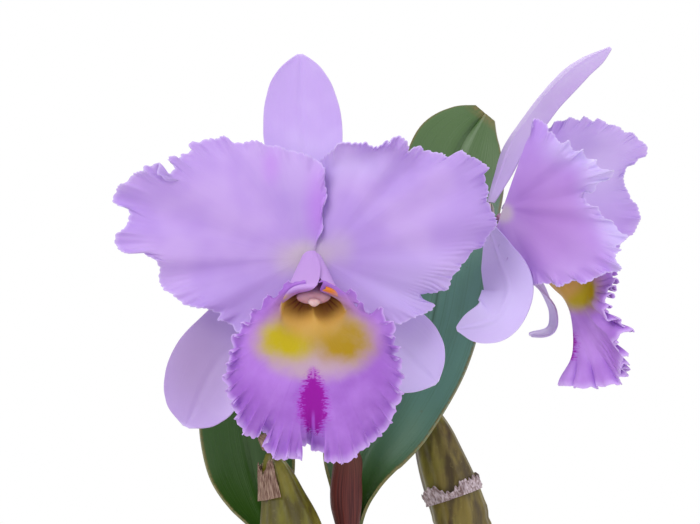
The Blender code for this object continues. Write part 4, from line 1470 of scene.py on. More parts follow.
FRONT_RIGHT_TRACE = (
    (320, 274), (323, 288), (330, 301), (340, 310), (350, 315), (357, 314), (362, 312), (365, 314),
    (370, 316), (378, 319), (388, 323), (396, 323), (404, 322), (410, 319), (414, 319.5), (418, 315.5),
    (424, 314), (427, 313), (432.5, 311.5), (435, 307), (430, 302.5), (425, 298.5), (422, 295.5),
    (427, 294), (433, 295), (439, 293), (442, 290), (448, 289.5), (452, 285.5), (453, 280), (458, 275),
    (461.5, 269), (462, 264), (467, 259), (472.5, 252.5), (478, 249), (483, 246), (488, 239.5), (493, 233),
    (496.5, 230), (498.5, 221), (496.5, 213), (492, 206.5), (489, 202), (489, 193.5), (489.5, 188),
    (487, 180), (487, 172), (490, 166), (484.5, 161), (479, 158), (472.5, 156), (466, 152.5), (461.5, 149),
    (458.5, 151), (455, 154.5), (452, 157), (447.5, 157), (445.5, 154), (441, 151), (434, 151),
    (429, 149.5), (425, 150.5), (423, 146), (417.5, 145), (412.5, 147), (409.5, 152), (410.5, 145.5),
    (408, 141.5), (403, 137.5), (399.5, 135), (395.5, 136.5), (393, 139.5), (391, 144), (388, 141.5),
    (384.5, 141), (381, 143.5), (378, 145.5), (372.5, 146), (367, 143), (361.5, 143.5), (354.5, 143),
    (347.5, 143), (342, 143.5), (336.5, 146), (331, 150), (326, 154), (321, 160), (314, 175), (309, 195),
    (306, 220), (306, 238), (309, 252),
)
FRONT_LIP_TRACE = (
    (306, 283), (298, 282), (290, 281), (283, 284), (281, 290), (284, 297), (279, 298), (274, 295),
    (267, 299), (260, 306), (253, 310), (249, 318), (243, 325), (240, 330), (233, 337), (230, 345),
    (231, 352), (227, 361), (227, 369), (224, 379), (227, 390), (227, 399), (232, 406), (234, 415),
    (238, 424), (241, 433), (247, 438), (252, 441), (255, 434), (263, 432), (265, 441), (265, 448),
    (270, 457), (275, 460), (280, 462), (286, 457), (290, 459), (297, 460), (300, 456), (300, 450),
    (305, 444), (309, 447), (309, 452), (315, 453), (320, 456), (326, 457), (328, 462), (335, 466),
    (341, 466), (347, 465), (353, 460), (359, 456), (365, 451), (372, 448), (376, 442), (381, 436),
    (387, 430), (390, 423), (394, 415), (392, 409), (399, 405), (402, 397), (400, 390), (402, 381),
    (403, 375), (401, 364), (396, 358), (401, 351), (397, 345), (393, 336), (394, 328), (387, 321),
    (384, 313), (380, 310), (374, 312), (370, 318), (366, 315), (365, 310), (361, 306), (357, 309),
    (354, 311), (351, 307), (356, 303), (356, 296), (347, 291), (340, 291), (335, 287), (329, 284),
    (323, 283),
)


@dataclass(frozen=True)
class Spot:
    """A soft oval of a second colour on a petal, some of them painted light or painted shade, in millimetres
    across and up in its bloom's frame.
    """

    tint: Tint
    middle: Pair
    size: Pair
    strength: float = 1.0


@dataclass(frozen=True)
class BloomShapes:
    """All the shapes of one bloom, in its own frame."""

    petals: dict[str, FanPetal]
    sepals: dict[str, RibBlade]
    lip: Lip
    column: Limb
    anther: Limb
    spots: dict[str, tuple[Spot, ...]]
    in_view: tuple[str, ...] = ()


FRONT_SHAPES = BloomShapes(
    petals={
        "petal_left": FanPetal(
            claw=(-3.4, 0.6, -0.8),
            margin=traced(FRONT_LEFT_TRACE, (FRONT_CENTRE[0] + 0.6, FRONT_CENTRE[1] - 0.5), -8.0),
            rise=((50, 12), (85, 10), (115, 5), (150, 3), (180, 1), (215, 3), (248, 5)),
            curl=((50, -4), (90, -10), (125, -12), (150, 4), (165, 0), (190, 2), (220, -6), (248, 0)),
            folds=(
                (50, 0), (80, -1.5), (100, -3.5), (118, 1), (130, -2.5), (142, 3), (152, 6), (163, -1),
                (172, 3), (180, 2.5), (187, -4.5), (196, -2), (206, 3), (216, 1), (228, 2), (248, 0),
            ),
            frill=Frill(
                count=22, height=1.3, start=0.78, seed=3, teeth=0.8,
                pleats=((40, 0), (120, 0.08), (175, 0.15), (190, 0.3), (205, 0.15), (250, 0.15)),
            ),
        ),
        "petal_right": FanPetal(
            claw=(3.7, 0.6, -0.8),
            margin=traced(FRONT_RIGHT_TRACE, FRONT_CENTRE, -8.0),
            rise=((-58, 4), (-30, 2), (0, 4), (30, 5), (60, 1), (85, -3), (100, -5)),
            curl=((-58, 0), (-30, -8), (0, 4), (30, -6), (60, 4), (85, 0), (100, 0)),
            folds=(
                (-58, 0), (-44, 2), (-33, 3), (-24, -4), (-14, -1), (-4, 2), (6, -1), (16, 3), (26, -2),
                (36, 3), (46, -2), (55, 5), (66, 1), (76, 2), (86, -2), (100, -1),
            ),
            over=((-60, 0), (48, 0), (58, 40), (72, 66), (82, 50), (90, 0), (120, 0)),
            over_start=0.74,
            frill=Frill(
                count=22, height=1.3, start=0.78, seed=17, teeth=0.8, pleat_start=0.72,
                pleats=((-60, 0.05), (-35, 0.15), (-25, 0.45), (0, 0.5), (10, 0.2), (30, 0.08), (100, 0.05)),
            ),
        ),
    },
    sepals={
        "dorsal_sepal": RibBlade(
            midrib=((0.0, 3.2, 5.4), (-2.0, 8.0, 30.0), (-4.4, 11.0, 58.0), (-5.2, 7.5, 84.8)),
            half_width=(
                (0.0, 3.6), (0.15, 8.0), (0.4, 14.4), (0.55, 16.4), (0.66, 16.7), (0.78, 15.1), (0.88, 11.7),
                (0.95, 7.0), (0.985, 3.0), (1.0, 0.9),
            ),
            roll=((0.0, 25), (0.4, 14), (0.8, 18), (1.0, 30)),
            face=((0.0, 0.0, -1.0, 0.0), (1.0, 0.0, -1.0, 0.1)),
        ),
        "lateral_sepal_left": RibBlade(
            midrib=((-3.35, 3.4, -4.6), (-19.5, 10.5, -23.5), (-40.2, 14.0, -44.8), (-53.4, 11.5, -72.0)),
            half_width=(
                (0.0, 3.2), (0.15, 8.0), (0.4, 16.0), (0.62, 18.2), (0.8, 17.2), (0.9, 13.8), (0.96, 8.8),
                (1.0, 1.4),
            ),
            roll=((0.0, 20), (0.5, 12), (1.0, 16)),
            face=((0.0, 0.0, -1.0, 0.0), (1.0, -0.1, -1.0, 0.1)),
            seed=31,
        ),
        "lateral_sepal_right": RibBlade(
            midrib=((3.35, 3.4, -4.6), (18.5, 10.5, -22.5), (35.5, 14.0, -38.0), (52.5, 11.0, -53.5)),
            half_width=(
                (0.0, 3.2), (0.15, 8.0), (0.4, 15.0), (0.62, 17.6), (0.8, 16.4), (0.9, 12.6), (0.96, 7.2),
                (1.0, 1.0),
            ),
            roll=((0.0, 20), (0.5, 12), (1.0, 16)),
            face=((0.0, 0.0, -1.0, 0.0), (1.0, 0.1, -1.0, 0.1)),
            seed=41,
        ),
    },
    lip=Lip(
        base=(0.0, -2.6, -1.5),
        mouth=(1.3, -36.0, -23.2),
        mouth_radius=12.6,
        margin=traced(FRONT_LIP_TRACE, FRONT_CENTRE, -40.0),
        margin_forward=((-254, 3), (-200, 2), (-150, -3), (-90, -8), (-30, -3), (20, 2), (73, 3)),
        swell=4.0,
        folds=(
            (-254, 0), (-225, 1.5), (-200, -1), (-170, 2), (-150, -2), (-125, 2.5), (-108, -2), (-97, 2),
            (-90, -3), (-80, 2), (-62, -2), (-45, 2.5), (-25, -2), (-5, 2), (15, -1.5), (40, 1.5), (73, 0),
        ),
        frill=Frill(
            count=40, height=2.1, start=0.72, sway=0.8, teeth=1.0, tooth_count=150, seed=23,
            pleats=((-260, 0.1), (-200, 0.3), (73, 0.3)), pleat_count=110, pleat_start=0.86,
        ),
    ),
    column=Column(
        route=((0.0, 0.4, -0.4), (0.3, -9.0, -4.6), (0.8, -22.0, -11.5), (1.2, -37.6, -17.4)),
        end_share=0.06,
        breadth=((0.0, 1.5), (0.6, 1.5), (0.85, 2.0), (1.0, 2.2)),
    ),
    anther=Anther(
        route=((1.3, -36.6, -18.0), (1.4, -38.6, -18.8), (1.4, -38.8, -20.4)),
        radii=((0.0, 1.3), (0.5, 1.5), (1.0, 1.1)),
        breadth=((0.0, 1.6), (1.0, 1.5)),
    ),
    spots={
        "petal_left": (
            # Painted shade where the left petal's inner edge curls back
            Spot(Tint.FLUSH, (3.0, 20.0), (6.0, 17.0), 0.9),
            Spot(Tint.FLUSH, (-17.0, 38.0), (4.0, 8.0), 0.6),
            Spot(Tint.CREAM, (-9.0, -1.0), (9.0, 9.0), 0.7),
        ),
        "petal_right": (
            Spot(Tint.CREAM, (11.0, 3.0), (9.0, 10.0), 0.6),
            # Painted light on the forward-curled fold at the top of the right petal
            Spot(Tint.PALE_AND_PAINTED_LIGHT, (18.0, 38.0), (16.0, 7.0), 0.5),
            Spot(Tint.PALE_AND_PAINTED_LIGHT, (44.0, -14.0), (26.0, 16.0), 0.6),
        ),
        # Painted shade on the left lateral sepal
        "lateral_sepal_left": (Spot(Tint.GREY_PAINTED_SHADE, (-50.0, -45.0), (22.0, 30.0), 1.0),),
        "lateral_sepal_right": (Spot(Tint.PALE_AND_PAINTED_LIGHT, (46.0, -50.0), (24.0, 30.0), 1.0),),
    },
)

SIDE_NEAR_TRACE = (
    (499, 232), (505, 247), (517, 267), (528, 280), (535, 285), (545, 283), (560, 286), (575, 282),
    (590, 281), (600, 275), (607, 271), (616, 273), (619, 265), (614, 257), (620, 251), (616, 246),
    (626, 241), (627, 235), (617, 229), (611, 219), (601, 214), (596, 206), (588, 201), (588, 192),
    (598, 188), (602, 181), (615, 173), (607, 168), (600, 168), (597, 158), (588, 157), (584, 148),
    (575, 149), (570, 140), (562, 140), (558, 131), (551, 130), (548, 121), (541, 117), (536, 121),
    (534, 128),
)
SIDE_FAR_TRACE = (
    (515, 245), (530, 262), (550, 268), (570, 266), (590, 262), (604, 258), (614, 251), (620, 244),
    (627, 238), (636, 228), (639, 220), (636, 210), (630, 200), (625, 189), (623, 179), (625, 169),
    (634, 163), (642, 157), (648, 152), (645, 143), (638, 139), (632, 134), (624, 132), (618, 127),
    (608, 126), (600, 120), (590, 122), (583, 119), (574, 122), (566, 121), (556, 124), (547, 128),
    (540, 136), (533, 148), (526, 160),
)


SIDE_SHAPES = BloomShapes(
    in_view=("petal_left", "petal_right"),
    petals={
        "petal_left": FanPetal(
            claw=(2.3, -4.2, 2.9),
            margin=traced(SIDE_NEAR_TRACE, SIDE_CENTRE, 0.0),
            rise=((-98, 10), (-70, 24), (-40, 40), (0, 44), (30, 40), (55, 30), (72, 18)),
            curl=((-98, 0), (-70, -6), (-40, 2), (0, -8), (30, 6), (72, 0)),
            folds=(
                (-98, 0), (-80, 1.5), (-66, -1.5), (-52, 1.5), (-38, -1.5), (-26, 3), (-14, -2), (-2, 2.5),
                (10, -2), (20, 4), (32, -2.5), (44, 2.5), (56, -2), (72, 0),
            ),
            over=((-98, 0), (-38, 0), (-22, -30), (0, -50), (20, -60), (45, -50), (60, -20), (72, 0)),
            over_start=0.84,
            softening=8.0,
            frill=Frill(
                count=20, height=2.0, start=0.74, seed=29, teeth=0.7, pleats=((-98, 0.05), (72, 0.12)),
            ),
        ),
        "petal_right": FanPetal(
            claw=(2.3, 4.0, 2.9),
            margin=traced(SIDE_FAR_TRACE, SIDE_CENTRE, 94.0),
            rise=((-75, -20), (-45, -40), (0, -44), (30, -42), (55, -34), (72, -24)),
            curl=((-75, 0), (-30, -4), (0, 4), (30, -4), (72, 0)),
            folds=(
                (-75, 0), (-50, 2), (-36, -2), (-22, 3), (-8, -2.5), (4, 2), (16, -3), (28, 3), (40, -3),
                (52, 2.5), (64, -1.5), (72, 0),
            ),
            softening=8.0,
            frill=Frill(
                count=24, height=1.3, start=0.74, seed=37, teeth=0.6, pleats=((-75, 0.05), (72, 0.2)),
            ),
        ),
    },
    sepals={
        "dorsal_sepal": RibBlade(
            midrib=(
                (0.0, 3.0, 5.4), (2.0, -1.5, 17.5), (4.0, -6.4, 30.5), (6.0, -14.0, 41.2), (7.5, -23.6, 53.4),
                (8.5, -35.8, 65.0), (9.0, -49.8, 73.0),
            ),
            half_width=(
                (0.0, 3.0), (0.15, 8.5), (0.4, 13.5), (0.62, 14.2), (0.8, 11.6), (0.93, 7.0), (1.0, 1.6),
            ),
            roll=((0.0, 20), (0.5, 22), (1.0, 24)),
            face=((0.0, 0.42, -1.0, -0.2), (0.5, 0.42, -1.0, -0.6), (1.0, 0.5, -0.6, -1.0)),
            seed=51,
        ),
        "lateral_sepal_left": RibBlade(
            midrib=(
                (-3.35, 3.4, -4.6), (-9.0, -0.6, -19.0), (-16.0, -4.0, -33.0), (-19.4, 2.0, -44.0),
                (-18.0, 18.2, -48.8),
            ),
            half_width=(
                (0.0, 2.8), (0.15, 7.5), (0.4, 11.6), (0.62, 11.0), (0.8, 9.0), (0.93, 5.4), (1.0, 0.9),
            ),
            roll=((0.0, -16), (0.5, -14), (1.0, -10)),
            face=((0.0, 0.6, -1.0, 0.0), (0.5, 1.0, -0.5, 0.0), (1.0, 1.0, -0.2, 0.3)),
            seed=61,
        ),
        "lateral_sepal_right": RibBlade(
            midrib=(
                (3.35, 3.4, -4.6), (10.0, -4.0, -15.0), (17.0, -15.0, -26.0), (20.0, -22.4, -35.5),
                (20.5, -25.0, -43.0), (20.5, -24.2, -48.8), (20.5, -15.5, -52.0),
            ),
            half_width=(
                (0.0, 2.4), (0.15, 6.0), (0.4, 8.5), (0.62, 10.0), (0.8, 11.5), (0.93, 11.0), (1.0, 5.0),
            ),
            roll=((0.0, 16), (0.5, 16), (1.0, 20)),
            face=((0.0, -0.2, -1.0, 0.0), (0.6, 0.0, -1.0, -0.1), (1.0, 0.0, -0.5, -1.0)),
            seed=71,
        ),
    },
    lip=Lip(
        base=(0.0, -2.6, -1.5),
        mouth=(0.0, -34.5, -27.0),
        flat=0.15,
        inner_forward=(
            (-254, 2.5), (-150, 2.5), (-110, -2.5), (-90, -3.5), (-70, -2.5), (-30, 2.5), (73, 2.5),
        ),
        margin=polar(
            (
                (-254, 12), (-230, 14), (-205, 18), (-180, 24), (-155, 31), (-130, 39), (-110, 46), (-96, 48),
                (-90, 46), (-84, 48), (-70, 46), (-50, 39), (-25, 31), (0, 24), (25, 18), (50, 14), (73, 12),
            )
        ) + np.array([0.0, -27.0]),
        margin_forward=(
            (-254, 7), (-205, 9.5), (-180, 11.2), (-158, 13.2), (-149, 10.5), (-141, 17.4), (-134, 11),
            (-127, 18), (-120, 20.5), (-113, 19), (-106, 15), (-99, 5), (-90, -4), (-79, 6), (-68, 15),
            (-50, 17), (-15, 13), (25, 11), (73, 7),
        ),
        swell=0.5,
        folds=(
            (-254, 0), (-225, 1.5), (-200, -2), (-180, 3), (-160, -2.5), (-140, 3), (-120, -2), (-100, 2),
            (-90, -2), (-80, 2), (-60, -2), (-40, 3), (-20, -2.5), (0, 3), (20, -2), (45, 1.5), (73, 0),
        ),
        frill=Frill(
            count=38, height=2.2, start=0.62, sway=0.9, teeth=1.0, tooth_count=120, seed=43,
            pleats=((-260, 0.1), (-200, 0.25), (73, 0.25)), pleat_count=100,
        ),
    ),
    column=Column(
        route=((0.0, 0.4, -0.4), (0.0, -8.5, -5.0), (0.0, -20.0, -12.8), (0.0, -31.0, -21.0)),
        end_share=0.08,
        breadth=((0.0, 1.5), (0.6, 1.5), (0.85, 1.9), (1.0, 2.1)),
    ),
    anther=Anther(
        route=((0.0, -31.6, -20.8), (0.0, -33.8, -22.8), (0.0, -34.2, -24.4)),
        radii=((0.0, 2.0), (0.5, 2.1), (1.0, 1.4)),
        breadth=((0.0, 1.25), (1.0, 1.25)),
    ),
    spots={
        "petal_left": (
            # Painted shade over the face of the near petal, turned from the light
            Spot(Tint.PAINTED_SHADE, (18.0, -2.0), (28.0, 30.0), 1.0),
            # Lit lobes near the margin: a paler lilac with painted light
            Spot(Tint.PALE_AND_PAINTED_LIGHT, (42.0, 13.0), (9.0, 16.0), 1.0),
            Spot(Tint.PALE_AND_PAINTED_LIGHT, (49.0, -8.0), (8.0, 11.0), 1.0),
            Spot(Tint.PALE_AND_PAINTED_LIGHT, (32.0, 29.0), (13.0, 9.0), 1.0),
            Spot(Tint.PALE_AND_PAINTED_LIGHT, (50.0, -23.0), (5.0, 6.0), 0.8),
            Spot(Tint.CREAM, (3.0, 1.0), (4.0, 4.0), 0.7),
        ),
        "petal_right": (Spot(Tint.PALE_AND_PAINTED_LIGHT, (48.0, 22.0), (30.0, 30.0), 0.6),),
        # Painted shade on the dorsal sepal
        "dorsal_sepal": (Spot(Tint.GREY_PAINTED_SHADE, (4.0, 40.0), (30.0, 60.0), 0.6),),
        "lateral_sepal_left": (Spot(Tint.PALE_AND_PAINTED_LIGHT, (-18.0, -38.0), (30.0, 30.0), 1.0),),
    },
)


@dataclass
class Bloom:
    """One bloom: three sepals, two petals, the lip, the column and its anther cap."""

    prefix: str
    place: Place
    shapes: BloomShapes
    petal_grid: Grid = (400, 56)
    sepal_grid: Grid = (40, 90)
    lip_grid: Grid = (440, 70)
    lip_ease: float = 1.15
    column_grid: Grid = (40, 44)
    anther_grid: Grid = (32, 24)
    petal_thickness: float = 0.5
    sepal_thickness: float = 0.7
    claw_reach: float = 9.0
    spot_reach: float = 1.6

    def build(self, make: Modeller, paints: dict[str, Material]) -> None:
        """Makes and dresses every piece of the bloom.

        Args:
            make: The modeller.
            paints: Materials by name.
        """
        shapes, prefix = self.shapes, self.prefix
        for kind, blades, grid, thickness in (
            ("sepal", shapes.sepals, self.sepal_grid, self.sepal_thickness),
            ("petal", shapes.petals, self.petal_grid, self.petal_thickness),
        ):
            for name, shape in blades.items():
                self.add_blade(make, name, shape, grid, thickness, paints[f"{kind}_{prefix}"])
        lip = make.sheet(
            f"{prefix}_lip_bloom",
            shapes.lip.surface,
            self.lip_grid,
            self.petal_thickness,
            self.place,
            self.lip_ease,
        )
        make.dress(lip, paints[f"lip_{prefix}"], Slot.LIP, f"{prefix}_lip")
        column = make.limb(f"{prefix}_column_bloom", shapes.column, self.column_grid, self.place)
        make.dress(column, paints["column"], Slot.COLUMN, f"{prefix}_column")
        anther = make.limb(f"{prefix}_anther_cap_bloom", shapes.anther, self.anther_grid, self.place)
        make.dress(anther, paints["anther"], Slot.ANTHER, f"{prefix}_anther_cap")

    def add_blade(
        self,
        make: Modeller,
        name: str,
        shape: FanPetal | RibBlade,
        grid: Grid,
        thickness: float,
        paint: Material,
    ) -> None:
        """Makes one petal or sepal with its colour spots, some of which are painted light or painted shade.

        Args:
            make: The modeller.
            name: The solid that it stands for, less the bloom's prefix.
            shape: Its shape.
            grid: Columns and rows.
            thickness: In millimetres.
            paint: Its material.
        """
        place = Place(self.place.at, 0.0) if name in self.shapes.in_view else self.place
        obj = make.sheet(f"{self.prefix}_{name}_bloom", shape.surface, grid, thickness, place)
        points = place.undo(make.points(obj))
        x, z = points[:, 0], points[:, 2]
        weights = {tint: np.zeros(len(points)) for tint in Tint}
        weights[Tint.CREAM] += 0.5 * smooth_step(1.3 - np.linalg.norm(points, axis=1) / self.claw_reach)
        for spot in self.shapes.spots.get(name, ()):
            far = np.hypot((x - spot.middle[0]) / spot.size[0], (z - spot.middle[1]) / spot.size[1])
            weights[spot.tint] += spot.strength * smooth_step((self.spot_reach - far) / self.spot_reach)
        for tint, values in weights.items():
            make.weigh(obj, tint.value, np.clip(values, 0.0, 1.0))
        make.dress(obj, paint, Slot.PETAL, f"{self.prefix}_{name}")


# The plant below the blooms, from the centre of the pot's base
BULB_SHAPES = {
    "flowering": Bulb(
        route=(
            (-5.0, 6.0, 104.2), (-9.0, 5.0, 140.0), (-17.0, 3.0, 175.0), (-23.0, 1.5, 198.0),
            (-23.8, 1.0, 203.0),
        ),
        radii=((0.0, 6.5), (0.25, 9.5), (0.6, 12.0), (0.85, 9.0), (1.0, 6.0)),
        joints=(0.2, 0.42, 0.66),
        seed=81,
    ),
    "left": Bulb(
        route=(
            (-30.0, -4.0, 104.4), (-36.0, -8.0, 150.0), (-45.0, -11.5, 190.0), (-49.0, -12.0, 210.0),
            (-57.2, -12.0, 241.5),
        ),
        radii=((0.0, 6.0), (0.25, 8.5), (0.55, 12.4), (0.75, 13.2), (0.88, 8.4), (1.0, 5.5)),
        joints=(0.22, 0.46, 0.7),
        seed=83,
    ),
    "right": Bulb(
        route=(
            (42.0, 13.0, 105.2), (37.5, 20.0, 150.0), (31.2, 25.0, 185.0), (27.2, 26.0, 205.6),
            (16.2, 28.0, 238.3), (9.5, 28.0, 260.6),
        ),
        radii=((0.0, 6.5), (0.25, 9.5), (0.55, 12.2), (0.8, 11.0), (0.93, 8.0), (1.0, 6.0)),
        joints=(0.24, 0.46, 0.645),
        seed=87,
    ),
    "leafing": Bulb(
        route=((-44.0, 13.5, 103.9), (-48.0, 13.5, 140.0), (-53.5, 11.0, 175.0), (-57.0, 7.5, 198.0)),
        radii=((0.0, 5.5), (0.3, 8.0), (0.6, 8.8), (0.85, 6.4), (1.0, 4.5)),
        joints=(0.25, 0.55, 0.8),
        seed=89,
    ),
}
BIG_LEAF = Leaf(
    midrib=(
        (-22.8, 1.8, 203.3), (-21.4, 4.0, 222.6), (-17.6, 6.0, 237.9), (-5.0, 9.0, 256.0),
        (9.4, 14.0, 283.4), (18.5, 19.0, 327.3), (21.5, 21.5, 352.0), (25.7, 23.0, 371.4),
        (32.0, 23.8, 382.0), (37.0, 24.0, 388.0),
    ),
    half_width=(
        (0.0, 4.5), (0.05, 7.0), (0.1, 11.2), (0.16, 17.0), (0.25, 19.8), (0.5, 21.2), (0.75, 22.5),
        (0.86, 22.3), (0.92, 19.5), (0.965, 13.0), (1.0, 5.5),
    ),
    roll=((0.0, 70), (0.15, 42), (0.35, 22), (0.7, 12), (1.0, 8)),
    face=((0.0, 0.0, -1.0, 0.0), (0.3, -0.15, -1.0, 0.1), (1.0, 0.0, -1.0, 0.1)),
    seed=91,
)
LEFT_LEAF = Leaf(
    midrib=(
        (-57.2, 7.4, 198.4), (-62.2, 6.5, 220.0), (-67.6, 6.0, 245.0), (-68.5, 7.0, 285.0),
        (-66.0, 9.0, 312.0), (-65.5, 11.0, 340.0),
    ),
    half_width=(
        (0.0, 3.5), (0.07, 8.0), (0.14, 14.5), (0.22, 19.0), (0.33, 20.5), (0.5, 18.5), (0.66, 14.5),
        (0.85, 10.5), (0.95, 6.5), (1.0, 2.0),
    ),
    roll=((0.0, 70), (0.15, 42), (0.4, 20), (1.0, 10)),
    face=((0.0, 0.0, -1.0, 0.0), (1.0, 0.0, -1.0, 0.05)),
    seed=93,
)
FLOWER_SPATHE = RibBlade(
    midrib=((-23.4, -8.5, 201.5), (-24.6, -12.8, 222.0), (-23.2, -14.0, 243.0)),
    half_width=((0.0, 7.0), (0.4, 12.5), (0.75, 11.0), (1.0, 3.0)),
    roll=((0.0, 112), (0.4, 110), (0.75, 105), (1.0, 40)),
    face=((0.0, 0.0, 1.0, 0.0), (1.0, 0.0, 1.0, 0.0)),
    groove=0.3,
    waver=0.6,
    seed=95,
)
STEMS = {
    "peduncle": Limb(
        route=((-23.3, -4.6, 198.8), (-24.6, -8.2, 228.0), (-19.0, -8.5, 258.0), (-10.0, -8.0, 296.6)),
        radii=((0.0, 2.6), (0.5, 2.9), (1.0, 2.8)),
        end_share=0.03,
        joints=(0.45,),
        joint_depth=0.1,
        seed=97,
    ),
    "front_pedicel": Limb(
        route=(
            (-38.7, -39.0, 324.5), (-38.7, -33.0, 324.0), (-37.5, -22.0, 320.0), (-28.0, -12.0, 303.0),
            (-17.4, -8.0, 282.5),
        ),
        radii=((0.0, 5.2), (0.07, 5.0), (0.16, 3.6), (0.5, 3.0), (1.0, 2.2)),
        end_share=0.022,
        ridges=6,
        ridge_depth=0.04,
        seed=99,
    ),
    "side_pedicel": Limb(
        route=(
            (39.5, -5.0, 342.3), (33.0, -5.0, 342.0), (22.0, -5.0, 336.0), (5.0, -6.0, 316.0),
            (-9.6, -8.0, 296.9),
        ),
        radii=((0.0, 5.2), (0.06, 5.0), (0.14, 3.6), (0.5, 3.0), (1.0, 2.4)),
        end_share=0.022,
        ridges=6,
        ridge_depth=0.04,
        seed=101,
    ),
}
STUB = Limb(
    route=((-57.5, -12.0, 241.8), (-59.0, -12.5, 245.0), (-61.5, -12.5, 248.0)),
    radii=((0.0, 3.2), (0.5, 2.7), (1.0, 1.8)),
    end_share=0.2,
    lumps=0.08,
    seed=103,
)
RHIZOME = Limb(
    route=(
        (-51.0, 13.0, 98.0), (-44.0, 13.0, 99.0), (-30.0, -2.0, 99.0), (-5.0, 5.0, 99.0), (20.0, 12.0, 99.0),
        (42.0, 13.0, 99.0), (52.0, 10.0, 100.0),
    ),
    radii=((0.0, 4.5), (0.1, 5.6), (0.5, 5.2), (0.9, 5.6), (1.0, 4.2)),
    end_share=0.06,
    joints=(0.18, 0.3, 0.42, 0.55, 0.68, 0.8),
    joint_depth=0.12,
    lumps=0.04,
    seed=105,
)
ROOT_STARTS = (
    (-44.0, 13.0), (-34.0, 2.0), (-22.0, -1.0), (-2.0, 6.0), (14.0, 10.0), (30.0, 13.0), (42.0, 13.0),
)
ROOT_HEADINGS = (60.0, 228.0, 285.0, 255.0, 300.0, 75.0, 262.0)
ROOT_ARCH = ((0.0, 98.5), (8.0, 101.5), (16.0, 101.0), (22.0, 94.0), (24.0, 84.0))


@dataclass(frozen=True)
class Wrap:
    """A torn sheath round a stem, between two shares of its length."""

    limb: Limb
    first: float
    last: float
    start: float
    span: float
    rags: float
    lift: float = 1.1
    flare: float = 1.4
    seed: int = 111

    def surface(self, u: Array, v: Array) -> Array:
        """Works out the sheath's skin, ragged along its upper edge.

        Args:
            u: Shares of the way round, in one row.
            v: Shares of the way up.

        Returns:
            Points by row, column and axis.
        """
        v, u = np.meshgrid(v, u, indexing="ij")
        shape = v.shape
        u, v = u.ravel(), v.ravel()
        nicks = 0.35 * np.abs(drift(u * 34, self.seed + 1))
        torn = 1 - self.rags * (0.5 + 0.5 * drift(u * 9, self.seed) + nicks)
        share = self.first + (self.last - self.first) * v * torn
        turn = np.radians(self.start + self.span * u)
        skin = self.limb.surface(turn, share)
        outward = unit(skin - along_route(self.limb.route, eased(share)))
        crinkle = 0.35 * drift(u * 22 + 3 * v, self.seed + 2) + 0.25 * drift(v * 9 + 30 * u, self.seed + 3)
        curl = self.flare * v**2 * (0.6 + 0.5 * drift(u * 5, self.seed + 4))
        edge = smooth_step(np.minimum(u, 1 - u) / 0.12)
        lift = self.lift + crinkle + curl + 0.8 * (1 - edge)
        return (skin + outward * lift[:, None]).reshape(*shape, 3)


